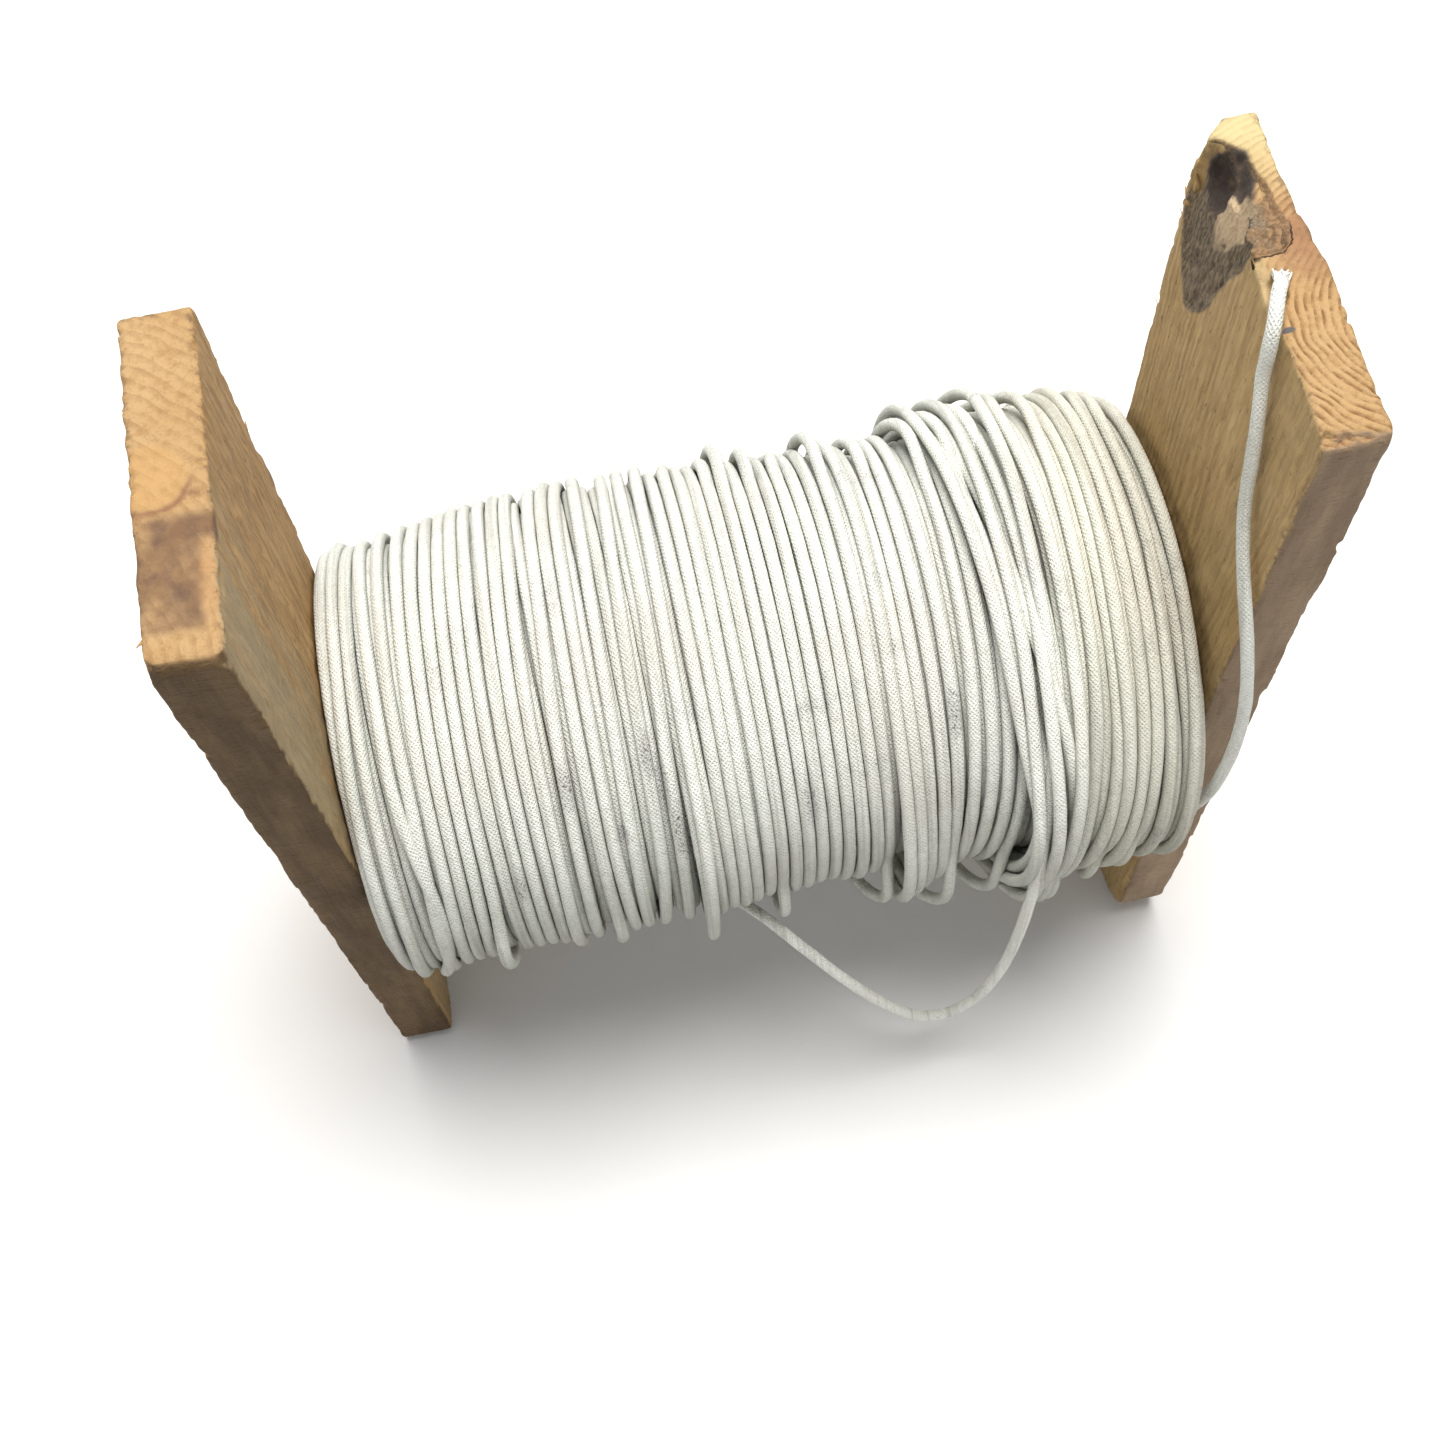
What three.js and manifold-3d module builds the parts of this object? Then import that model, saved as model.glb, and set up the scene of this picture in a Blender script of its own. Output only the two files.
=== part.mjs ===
// Hand-made cord reel: two rough-sawn end boards nailed to a square wooden core, wound with a
// thick layer of waxed cotton cord. Millimetres, +Z up, X along the reel, -Y is the front.
// The boards stand on their ends, so z = 0 is the surface that the reel stands on.
import * as THREE from "three";
import { mergeVertices } from "three/addons/utils/BufferGeometryUtils.js";
import Module from "manifold-3d";

const wasm = await Module();
wasm.setup();

// Driving dimensions
const BETWEEN_BOARDS = 190;
const LEFT_THICKNESS = 13;
const RIGHT_THICKNESS = 12.2;
const CORD_DIAMETER = 3.2;
const CORE_SIDE = 38;
const GAP = 0.3;

// Each end board: a long outline in the YZ plane, not quite square, with worn corners.
const LEFT_BOARD = {
  thickness: LEFT_THICKNESS,
  width: 72,
  height: 247,
  footCentreY: 1.5,
  headCentreY: -3.4,
  cornerRadii: { footFront: 6, footBack: 5, headBack: 4, headFront: 2 },
};
const RIGHT_BOARD = {
  thickness: RIGHT_THICKNESS,
  width: 70,
  height: 248,
  footCentreY: -5.3,
  headCentreY: -0.4,
  cornerRadii: { footFront: 13, footBack: 5, headBack: 3, headFront: 4 },
};
const EDGE_WEAR = 0.9;

// Winding: [x, radius, centre height] of its outer shape from board to board. It is fullest
// near the right board, where slack turns hang below it, and both ends sit a little lower.
const WINDING_STATIONS = [
  [-94.3, 48.6, 111],
  [-90, 49.8, 112.4],
  [-75, 51.2, 115.5],
  [-55, 52.2, 119],
  [0, 52.6, 120.4],
  [35, 52.4, 120],
  [58, 56.8, 115.6],
  [76, 57.5, 113],
  [90, 56.2, 110],
  [95.1, 54.8, 109],
];
const WINDING_SEGMENTS = 40;
const CORE_CENTRE_Z = 119;
const CORE_EDGE_RADIUS = 2.5;

// Knot hollow and cord notch, both at the head of the right board.
const KNOT = { y: 23, z: 243, radiusX: 6.5, radiusY: 13, radiusZ: 17 };
const NOTCH = { y: -4.2, width: 6.4, depthX: 5, depthZ: 3.2 };

// Wire nails, two through each board into the end grain of the core.
const NAIL = { shankRadius: 1.25, headRadius: 3, headHeight: 1.2, length: 50, sunk: 0.3 };
const NAIL_HEIGHTS = [-10, 10];

// Derived places
const REEL_LENGTH = LEFT_THICKNESS + BETWEEN_BOARDS + RIGHT_THICKNESS;
const LEFT_INNER_X = -REEL_LENGTH / 2 + LEFT_THICKNESS;
const RIGHT_INNER_X = REEL_LENGTH / 2 - RIGHT_THICKNESS;

// Free stretches of the cord, as points along their centrelines.
// The tail leaves the winding under its right end and rises to the notch.
const TAIL_ROUTE = [
  [97.3, -45.2, 97],
  [97.4, -47.4, 107],
  [97.4, -49.2, 117.5],
  [97.2, -50.3, 130],
  [96.8, -50.6, 144],
  [96.2, -49.9, 157],
  [95.4, -48.4, 168],
  [94.4, -45.6, 178],
  [93.5, -41.6, 187],
  [93, -37, 193.8],
  [93, -32.6, 199],
  [93.1, -28.4, 204.6],
  [93.2, -25, 211.4],
  [93.3, -22.2, 220.6],
  [93.3, -19, 230.4],
  [93.4, -15.8, 238.2],
  [93.4, -14.8, 243.6],
  [93.5, -13.9, 247],
  [94, -12.3, 249.6],
  [94.8, -10.1, 250.8],
  [95.9, -7.5, 250.9],
  [97.2, -5.2, 250],
  [98.3, -3.6, 248.5],
];
// The loop is one slack outer turn: over the top, down past the front and back underneath.
const LOOP_ROUTE = [
  [60.1, 38.2, 161.4],
  [60, 26.4, 168.9],
  [60, 11.4, 174.1],
  [59.6, -1.8, 175.2],
  [59.2, -13.2, 173.7],
  [59, -22.4, 170.8],
  [58.6, -30.9, 166.4],
  [58, -38.8, 160.8],
  [57, -46.2, 153.4],
  [55.6, -53, 143.8],
  [54.2, -58.4, 132],
  [53.4, -61.6, 119],
  [52.7, -63.2, 104],
  [52, -64.1, 84],
  [50.2, -64.8, 62],
  [45.8, -65.2, 41.6],
  [39, -65.4, 31.2],
  [32, -65.2, 31.4],
  [25, -64.6, 39.4],
  [17, -63, 53],
  [9.4, -60.6, 67.4],
  [3.4, -57.6, 78],
  [-2, -54, 85.6],
  [-6.4, -50, 89.4],
  [-10.4, -45.2, 88.4],
  [-13.5, -38.8, 80.5],
];

const MATERIALS = {
  pine: { color: 0xc39a63, roughness: 0.85, metalness: 0 },
  knottyPine: { color: 0xb98f58, roughness: 0.85, metalness: 0 },
  core: { color: 0xcfae7c, roughness: 0.85, metalness: 0 },
  steel: { color: 0x77736c, roughness: 0.5, metalness: 0.9 },
  cord: { color: 0xd9d5c8, roughness: 0.75, metalness: 0 },
};

const group = new THREE.Group();

function addPart(name, geometry, material) {
  const mesh = new THREE.Mesh(geometry, new THREE.MeshStandardMaterial(material));
  mesh.name = name;
  group.add(mesh);
  return mesh;
}

// Solid and back: manifold-3d cuts closed meshes whose vertices are shared.
function toSolid(geometry) {
  const bare = geometry.clone();
  bare.deleteAttribute("normal");
  bare.deleteAttribute("uv");
  const merged = mergeVertices(bare, 1e-3);
  const vertProperties = merged.attributes.position.array;
  const triVerts = new Uint32Array(merged.index.array);
  return new wasm.Manifold(new wasm.Mesh({ numProp: 3, vertProperties, triVerts }));
}

function toGeometry(solid) {
  const mesh = solid.getMesh();
  const geometry = new THREE.BufferGeometry();
  const position = new THREE.BufferAttribute(new Float32Array(mesh.vertProperties), 3);
  geometry.setAttribute("position", position);
  geometry.setIndex(new THREE.BufferAttribute(new Uint32Array(mesh.triVerts), 1));
  geometry.computeVertexNormals();
  return geometry;
}

function cut(geometry, tools) {
  const solid = tools.reduce((rest, tool) => rest.subtract(toSolid(tool)), toSolid(geometry));
  return toGeometry(solid);
}

// Cylinder of the given radius along X, from one x to another.
function rodAlongX(radius, fromX, toX, y, z, segments) {
  const rod = new THREE.CylinderGeometry(radius, radius, toX - fromX, segments);
  rod.rotateZ(-Math.PI / 2);
  rod.translate((fromX + toX) / 2, y, z);
  return rod;
}

// Closed outline through four corners, each rounded by its own radius.
function roundedOutline(corners) {
  const shape = new THREE.Shape();
  corners.forEach((corner, i) => {
    const point = new THREE.Vector2(corner.x, corner.y);
    const before = corners[(i + corners.length - 1) % corners.length];
    const after = corners[(i + 1) % corners.length];
    const start = new THREE.Vector2(before.x, before.y).sub(point).setLength(corner.r).add(point);
    const end = new THREE.Vector2(after.x, after.y).sub(point).setLength(corner.r).add(point);
    if (i === 0) {
      shape.moveTo(start.x, start.y);
    } else {
      shape.lineTo(start.x, start.y);
    }
    shape.quadraticCurveTo(point.x, point.y, end.x, end.y);
  });
  shape.closePath();
  return shape;
}

// Outline in (y, z), extruded along X, with its edges worn by a small bevel.
function slabAlongX(shape, thickness, fromX, wear) {
  const slab = new THREE.ExtrudeGeometry(shape, {
    depth: thickness - 2 * wear,
    curveSegments: 5,
    bevelEnabled: wear > 0,
    bevelSize: wear,
    bevelThickness: wear,
    bevelOffset: -wear,
    bevelSegments: 2,
  });
  const toWorld = new THREE.Matrix4().makeBasis(
    new THREE.Vector3(0, 1, 0),
    new THREE.Vector3(0, 0, 1),
    new THREE.Vector3(1, 0, 0),
  );
  slab.applyMatrix4(toWorld);
  slab.translate(fromX + wear, 0, 0);
  return slab;
}

function boardOutline(board) {
  const half = board.width / 2;
  const r = board.cornerRadii;
  return roundedOutline([
    { x: board.footCentreY - half, y: 0, r: r.footFront },
    { x: board.footCentreY + half, y: 0, r: r.footBack },
    { x: board.headCentreY + half, y: board.height, r: r.headBack },
    { x: board.headCentreY - half, y: board.height, r: r.headFront },
  ]);
}

// Clearance for each nail: a hole for the shank and a shallow seat for the head.
function nailHoles(outerX, inward, clearance) {
  return NAIL_HEIGHTS.flatMap((offset) => {
    const z = CORE_CENTRE_Z + offset;
    const shankEnd = outerX + inward * (NAIL.length + NAIL.sunk + clearance);
    const seatEnd = outerX + inward * (NAIL.headHeight + NAIL.sunk + clearance);
    const outside = outerX - inward;
    const shank = [outside, shankEnd].sort((a, b) => a - b);
    const seat = [outside, seatEnd].sort((a, b) => a - b);
    return [
      rodAlongX(NAIL.shankRadius + clearance, shank[0], shank[1], 0, z, 12),
      rodAlongX(NAIL.headRadius + clearance, seat[0], seat[1], 0, z, 16),
    ];
  });
}

function leftEndBoard() {
  const slab = slabAlongX(boardOutline(LEFT_BOARD), LEFT_THICKNESS, -REEL_LENGTH / 2, EDGE_WEAR);
  addPart("left_end_board", cut(slab, nailHoles(-REEL_LENGTH / 2, 1, GAP)), MATERIALS.pine);
}

// The hollow is where a dead knot and its bark broke out of the board's back corner.
function knotHollow() {
  const hollow = new THREE.IcosahedronGeometry(1, 3);
  hollow.scale(KNOT.radiusX, KNOT.radiusY, KNOT.radiusZ);
  hollow.translate(RIGHT_INNER_X, KNOT.y, KNOT.z);
  return hollow;
}

// The notch is a slit in the head's inner edge that grips the end of the cord.
function cordNotch() {
  const top = RIGHT_BOARD.height + 1;
  const slit = new THREE.BoxGeometry(NOTCH.depthX + 1, NOTCH.width, NOTCH.depthZ + 1);
  slit.translate(RIGHT_INNER_X + (NOTCH.depthX - 1) / 2, NOTCH.y, top - (NOTCH.depthZ + 1) / 2);
  return slit;
}

function rightEndBoard() {
  const slab = slabAlongX(boardOutline(RIGHT_BOARD), RIGHT_THICKNESS, RIGHT_INNER_X, EDGE_WEAR);
  const tools = [knotHollow(), cordNotch(), ...nailHoles(REEL_LENGTH / 2, -1, GAP)];
  addPart("right_end_board", cut(slab, tools), MATERIALS.knottyPine);
}

function squareBar(side, radius, length, fromX) {
  const half = side / 2;
  const corners = [
    { x: -half, y: CORE_CENTRE_Z - half, r: radius },
    { x: half, y: CORE_CENTRE_Z - half, r: radius },
    { x: half, y: CORE_CENTRE_Z + half, r: radius },
    { x: -half, y: CORE_CENTRE_Z + half, r: radius },
  ];
  return slabAlongX(roundedOutline(corners), length, fromX, 0);
}

function coreBlock() {
  const length = BETWEEN_BOARDS - 2 * GAP;
  const bar = squareBar(CORE_SIDE, CORE_EDGE_RADIUS, length, LEFT_INNER_X + GAP);
  const left = nailHoles(-REEL_LENGTH / 2, 1, GAP);
  const right = nailHoles(REEL_LENGTH / 2, -1, GAP);
  addPart("core_block", cut(bar, [...left, ...right]), MATERIALS.core);
}

// Nail along X with its head outside: one turned profile from head to point.
function nail(name, outerX, inward, z) {
  const { shankRadius, headRadius, headHeight, length, sunk } = NAIL;
  const pointLength = 3;
  const profile = [
    new THREE.Vector2(0, 0),
    new THREE.Vector2(headRadius, 0),
    new THREE.Vector2(headRadius, headHeight),
    new THREE.Vector2(shankRadius, headHeight),
    new THREE.Vector2(shankRadius, length - pointLength),
    new THREE.Vector2(0, length),
  ];
  const turned = new THREE.LatheGeometry(profile, 12);
  turned.rotateZ(-inward * (Math.PI / 2));
  turned.translate(outerX + inward * sunk, 0, z);
  addPart(name, turned, MATERIALS.steel);
}

function nails() {
  const ends = { left: [-REEL_LENGTH / 2, 1], right: [REEL_LENGTH / 2, -1] };
  for (const [side, [outerX, inward]] of Object.entries(ends)) {
    NAIL_HEIGHTS.forEach((offset, i) => {
      nail(`nail_${side}_${i + 1}`, outerX, inward, CORE_CENTRE_Z + offset);
    });
  }
}

// Height of the winding's centre at a place along the reel.
function windingCentreZ(x) {
  const i = WINDING_STATIONS.findIndex(([stationX]) => stationX >= x - 1e-3);
  const [toX, , toZ] = WINDING_STATIONS[i];
  const [fromX, , fromZ] = WINDING_STATIONS[Math.max(i - 1, 0)];
  const share = toX > fromX ? (x - fromX) / (toX - fromX) : 1;
  return THREE.MathUtils.lerp(fromZ, toZ, share);
}

// Outer shape of all the turns, turned about the reel's axis, with the core's bar cut out.
function cordWinding() {
  const [leftX] = WINDING_STATIONS[0];
  const [rightX] = WINDING_STATIONS[WINDING_STATIONS.length - 1];
  const length = rightX - leftX;
  const points = WINDING_STATIONS.map(([x, radius]) => new THREE.Vector2(radius, x - leftX));
  points.unshift(new THREE.Vector2(0, 0));
  points.push(new THREE.Vector2(0, length));
  const body = new THREE.LatheGeometry(points, WINDING_SEGMENTS);
  body.rotateZ(-Math.PI / 2);
  body.translate(leftX, 0, 0);
  const position = body.attributes.position;
  for (let i = 0; i < position.count; i += 1) {
    position.setZ(i, position.getZ(i) + windingCentreZ(position.getX(i)));
  }
  const through = squareBar(CORE_SIDE + 2 * GAP, CORE_EDGE_RADIUS, length + 2, leftX - 1);
  addPart("cord_winding", cut(body, [through]), MATERIALS.cord);
}

function freeCord(name, route) {
  const curve = new THREE.CatmullRomCurve3(route.map((point) => new THREE.Vector3(...point)));
  const sides = 8;
  const section = new THREE.Shape();
  for (let i = 0; i < sides; i += 1) {
    const angle = (2 * Math.PI * i) / sides;
    const x = (CORD_DIAMETER / 2) * Math.cos(angle);
    const y = (CORD_DIAMETER / 2) * Math.sin(angle);
    if (i === 0) {
      section.moveTo(x, y);
    } else {
      section.lineTo(x, y);
    }
  }
  section.closePath();
  const steps = Math.min(80, Math.round(curve.getLength() / (2.5 * CORD_DIAMETER)));
  const tube = new THREE.ExtrudeGeometry(section, { steps, extrudePath: curve, bevelEnabled: false });
  addPart(name, tube, MATERIALS.cord);
}

leftEndBoard();
rightEndBoard();
coreBlock();
nails();
cordWinding();
freeCord("cord_tail", TAIL_ROUTE);
freeCord("cord_loop", LOOP_ROUTE);

export default group;
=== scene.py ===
from math import pi, radians

import bpy
import numpy as np
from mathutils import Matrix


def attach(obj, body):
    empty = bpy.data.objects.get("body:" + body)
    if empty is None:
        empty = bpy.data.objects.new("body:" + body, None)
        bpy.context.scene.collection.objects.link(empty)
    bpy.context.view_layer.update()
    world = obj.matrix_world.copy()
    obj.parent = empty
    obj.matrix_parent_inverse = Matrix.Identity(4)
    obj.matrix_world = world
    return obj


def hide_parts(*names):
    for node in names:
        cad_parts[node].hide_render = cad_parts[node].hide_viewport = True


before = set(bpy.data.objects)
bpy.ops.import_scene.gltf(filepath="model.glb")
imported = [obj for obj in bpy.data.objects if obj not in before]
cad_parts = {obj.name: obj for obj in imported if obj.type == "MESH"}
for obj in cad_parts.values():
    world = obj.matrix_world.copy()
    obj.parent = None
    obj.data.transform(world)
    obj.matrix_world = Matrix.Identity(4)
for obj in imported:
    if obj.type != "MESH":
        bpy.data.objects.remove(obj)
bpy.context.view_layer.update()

MM = 0.001
CORD = 2.8  # the free cord's diameter
TAU = 2 * pi


# ---------------- camera, floor and light

CAMERA_AT = (-0.0311157, -0.1980065, 0.541095)
CAMERA_TURN = (24.0936, 1.8688, -10.9094)
CAMERA_LENS = 49.171


def make_camera():
    data = bpy.data.cameras.new("camera")
    data.lens = CAMERA_LENS
    data.sensor_width = 36
    data.clip_start = 0.01
    camera = bpy.data.objects.new("camera", data)
    camera.location = CAMERA_AT
    camera.rotation_euler = [radians(a) for a in CAMERA_TURN]
    bpy.context.scene.collection.objects.link(camera)
    bpy.context.scene.camera = camera


WINDOW_AT, AIM = np.array((0.11, 0.22, 1.8)), np.array((0, 0, 0.1))


def make_lights():
    data = bpy.data.lights.new("window", "AREA")
    data.shape = "DISK"
    data.size = 1.15
    data.energy = 45
    data.color = (1.0, 0.99, 0.97)
    window = bpy.data.objects.new("window", data)
    window.location = WINDOW_AT
    x, y, z = AIM - WINDOW_AT
    window.rotation_euler = (np.arctan2(np.hypot(x, y), -z), 0, np.arctan2(x, -y) + pi)
    bpy.context.scene.collection.objects.link(window)
    world = bpy.data.worlds.new("room")
    bpy.context.scene.world = world
    world.use_nodes = True
    background = world.node_tree.nodes["Background"]
    background.inputs["Color"].default_value = (0.95, 0.97, 1.0, 1)
    background.inputs["Strength"].default_value = 0.36
    view = bpy.context.scene.view_settings
    view.view_transform = "Standard"
    view.look = "None"
    view.exposure = 0.0


def make_floor():
    mesh = bpy.data.meshes.new("floor")
    mesh.from_pydata([(-3, -3, 0), (3, -3, 0), (3, 3, 0), (-3, 3, 0)], [], [(0, 1, 2, 3)])
    material = bpy.data.materials.new("paper")
    material.use_nodes = True
    shader = material.node_tree.nodes["Principled BSDF"]
    shader.inputs["Base Color"].default_value = (0.87, 0.86, 0.845, 1)
    shader.inputs["Roughness"].default_value = 0.9
    shader.inputs["Specular IOR Level"].default_value = 0.2
    new_object("floor", mesh, material)


# ---------------- material building


class Wire:
    """A value on its way through a material. Arithmetic on it adds a math node."""

    def __init__(self, graph, socket):
        self.graph, self.socket = graph, socket

    def __add__(self, other):
        return self.graph.math("ADD", self, other)

    def __sub__(self, other):
        return self.graph.math("SUBTRACT", self, other)

    def __rsub__(self, other):
        return self.graph.math("SUBTRACT", other, self)

    def __mul__(self, other):
        return self.graph.math("MULTIPLY", self, other)

    def __truediv__(self, other):
        return self.graph.math("DIVIDE", self, other)

    __radd__ = __add__
    __rmul__ = __mul__


class Graph:
    """A small helper that wires one procedural material."""

    def __init__(self, name):
        self.material = bpy.data.materials.new(name)
        self.material.use_nodes = True
        self.tree = self.material.node_tree
        self.shader = self.tree.nodes["Principled BSDF"]

    def node(self, kind, values=(), **settings):
        """A node with its settings, and values for its first inputs or for its named ones."""
        made = self.tree.nodes.new(kind)
        for key, value in settings.items():
            setattr(made, key, value)
        for key, value in dict(values if isinstance(values, dict) else enumerate(values)).items():
            self.plug(made.inputs[key], value)
        return made

    def output(self, key, kind, values=(), **settings):
        return Wire(self, self.node(kind, values, **settings).outputs[key])

    def plug(self, socket, value):
        if isinstance(value, Wire):
            self.tree.links.new(value.socket, socket)
        elif isinstance(value, tuple) and len(socket.default_value) == 4:
            socket.default_value = (*value, 1)
        else:
            socket.default_value = value

    def math(self, operation, a, b=0.0):
        return self.output(0, "ShaderNodeMath", (a, b), operation=operation)

    def vector(self, operation, a, b=(0, 0, 0)):
        key = "Value" if operation == "LENGTH" else "Vector"
        return self.output(key, "ShaderNodeVectorMath", (a, b), operation=operation)

    def place(self):
        """The surface point in millimetres."""
        coordinates = self.output("Object", "ShaderNodeTexCoord")
        return self.vector("MULTIPLY", coordinates, (1 / MM,) * 3)

    def normal(self):
        return self.split(self.output("Normal", "ShaderNodeNewGeometry"))

    def split(self, vector):
        return [Wire(self, socket) for socket in self.node("ShaderNodeSeparateXYZ", (vector,)).outputs]

    def join(self, x, y, z):
        return self.output(0, "ShaderNodeCombineXYZ", (x, y, z))

    def noise(self, vector, scale, detail, roughness):
        """Noise in lumps of about 1/scale millimetres; three scales make them longer one way."""
        if isinstance(scale, tuple):
            vector, scale = self.vector("MULTIPLY", vector, scale), 1.0
        values = {"Vector": vector, "Scale": scale, "Detail": detail, "Roughness": roughness}
        return self.output("Fac", "ShaderNodeTexNoise", values)

    def ramp(self, factor, stops):
        made = self.node("ShaderNodeValToRGB", (factor,))
        elements = made.color_ramp.elements
        while len(elements) < len(stops):
            elements.new(0.5)
        for element, (at, colour) in zip(elements, stops):
            element.position = at
            element.color = (*colour, 1) if isinstance(colour, tuple) else (colour, colour, colour, 1)
        return Wire(self, made.outputs["Color"])

    def mix(self, factor, a, b, blend="MIX"):
        values = {0: factor, 6: a, 7: b}
        return self.output(2, "ShaderNodeMix", values, data_type="RGBA", blend_type=blend)

    def tint(self, colour, by):
        return self.mix(1.0, colour, by, "MULTIPLY")

    def step(self, value, low, high):
        """0 below low, 1 above high, smooth between."""
        values = {"Value": value, "From Min": low, "From Max": high}
        return self.output("Result", "ShaderNodeMapRange", values, interpolation_type="SMOOTHSTEP")

    def mask(self, name):
        return self.output("Fac", "ShaderNodeAttribute", attribute_name=name)

    def bump(self, height, distance, strength):
        values = {"Strength": strength, "Distance": distance * MM, "Height": height}
        return self.output("Normal", "ShaderNodeBump", values)

    def finish(self, colour, roughness, normal, specular):
        self.plug(self.shader.inputs["Base Color"], colour)
        self.plug(self.shader.inputs["Roughness"], roughness)
        self.plug(self.shader.inputs["Normal"], normal)
        self.shader.inputs["Specular IOR Level"].default_value = specular
        return self.material


# ---------------- numbers and noise

def lattice_noise(points, seed):
    """Smooth noise from -1 to 1 at points, one lump per unit."""
    table = np.random.default_rng(seed).uniform(-1, 1, 4096)
    cell = np.floor(points).astype(np.int64)
    part = points - cell
    part = part * part * (3 - 2 * part)
    total = 0.0
    for corner in range(8):
        step = np.array([corner & 1, corner >> 1 & 1, corner >> 2 & 1])
        at = cell + step
        index = (at[:, 0] * 73856093 ^ at[:, 1] * 19349663 ^ at[:, 2] * 83492791) & 4095
        weight = np.prod(np.where(step, part, 1 - part), axis=1)
        total = total + table[index] * weight
    return total


def wave_noise(along, seed):
    """Smooth noise from -1 to 1 along a line."""
    points = np.stack([along, np.zeros_like(along), np.zeros_like(along)], 1)
    return lattice_noise(points, seed)


def smooth_step(value, low, high):
    share = np.clip((value - low) / (high - low), 0, 1)
    return share * share * (3 - 2 * share)


# ---------------- meshes


def new_object(name, data, material):
    made = bpy.data.objects.new(name, data)
    bpy.context.scene.collection.objects.link(made)
    data.materials.append(material)
    return made


def quad_mesh(name, points, quads, extra_faces=()):
    """A mesh from an array of points in millimetres and an array of quads."""
    mesh = bpy.data.meshes.new(name)
    mesh.vertices.add(len(points))
    mesh.vertices.foreach_set("co", (np.asarray(points) * MM).astype(np.float32).ravel())
    flat = [np.asarray(quads).ravel()] + [np.asarray(face) for face in extra_faces]
    loops = np.concatenate(flat)
    totals = np.array([4] * len(quads) + [len(face) for face in extra_faces])
    mesh.loops.add(len(loops))
    mesh.loops.foreach_set("vertex_index", loops.astype(np.int32))
    mesh.polygons.add(len(totals))
    starts = np.concatenate([[0], np.cumsum(totals)[:-1]])
    mesh.polygons.foreach_set("loop_start", starts.astype(np.int32))
    mesh.polygons.foreach_set("use_smooth", np.full(len(totals), True))
    mesh.update(calc_edges=True)
    mesh.validate()
    return mesh


def ring_quads(rings, sides, closed=False):
    """Quads between rings of points one after the other; closed joins the last ring to the first."""
    near = np.arange(rings if closed else rings - 1)[:, None] * sides
    far = (near + sides) % (rings * sides)
    column = np.arange(sides)
    after = (column + 1) % sides
    return np.stack([near + column, near + after, far + after, far + column], -1).reshape(-1, 4)


def paint(mesh, name, values):
    """One number for each vertex, which a material reads by name."""
    attribute = mesh.attributes.new(name, "FLOAT", "POINT")
    attribute.data.foreach_set("value", np.asarray(values, np.float32))


def surface_net(field, axes):
    """Points and quads of the closed surface where a field sampled on a grid changes sign."""
    inside = field < 0
    shape = np.array(field.shape) - 1
    corners = [np.array((i, j, k)) for i in (0, 1) for j in (0, 1) for k in (0, 1)]
    count = np.zeros(shape, np.int8)
    for i, j, k in corners:
        count += inside[i : shape[0] + i, j : shape[1] + j, k : shape[2] + k]
    cells = np.argwhere((count > 0) & (count < 8))
    number = np.full(shape, -1, np.int64)
    number[tuple(cells.T)] = np.arange(len(cells))
    total = np.zeros((len(cells), 3))
    hits = np.zeros(len(cells))
    steps = np.eye(3, dtype=int)
    for axis in range(3):
        for corner in corners:
            if corner[axis]:
                continue
            a = field[tuple((cells + corner).T)]
            b = field[tuple((cells + corner + steps[axis]).T)]
            crossed = (a < 0) != (b < 0)
            share = np.where(crossed, a / np.where(crossed, a - b, 1), 0)
            total += crossed[:, None] * (corner + share[:, None] * steps[axis])
            hits += crossed
    index = cells + total / hits[:, None]
    points = np.stack([np.interp(index[:, a], np.arange(len(axes[a])), axes[a]) for a in range(3)], 1)
    quads = []
    for axis in range(3):
        u, v = steps[(axis + 1) % 3], steps[(axis + 2) % 3]
        near = tuple(slice(0, -1) if a == axis else slice(1, -1) for a in range(3))
        far = tuple(slice(1, None) if a == axis else slice(1, -1) for a in range(3))
        at = np.argwhere(inside[near] != inside[far]) + (1 - steps[axis])
        ring = np.stack([number[tuple((at - shift).T)] for shift in (u + v, v, 0 * u, u)], 1)
        out = inside[tuple(at.T)]
        ring[~out] = ring[~out][:, ::-1]
        quads.append(ring)
    return points, np.concatenate(quads)


def transport(path):
    """Side vectors of a tube along a path, without twist."""
    tangent = np.gradient(path, axis=0)
    tangent /= np.linalg.norm(tangent, axis=1)[:, None]
    side = np.zeros_like(path)
    start = np.cross(tangent[0], (0.3, 0.5, 0.8))
    side[0] = start / np.linalg.norm(start)
    for i in range(1, len(path)):
        turned = side[i - 1] - tangent[i] * (side[i - 1] @ tangent[i])
        side[i] = turned / np.linalg.norm(turned)
    return side, np.cross(tangent, side)


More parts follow.
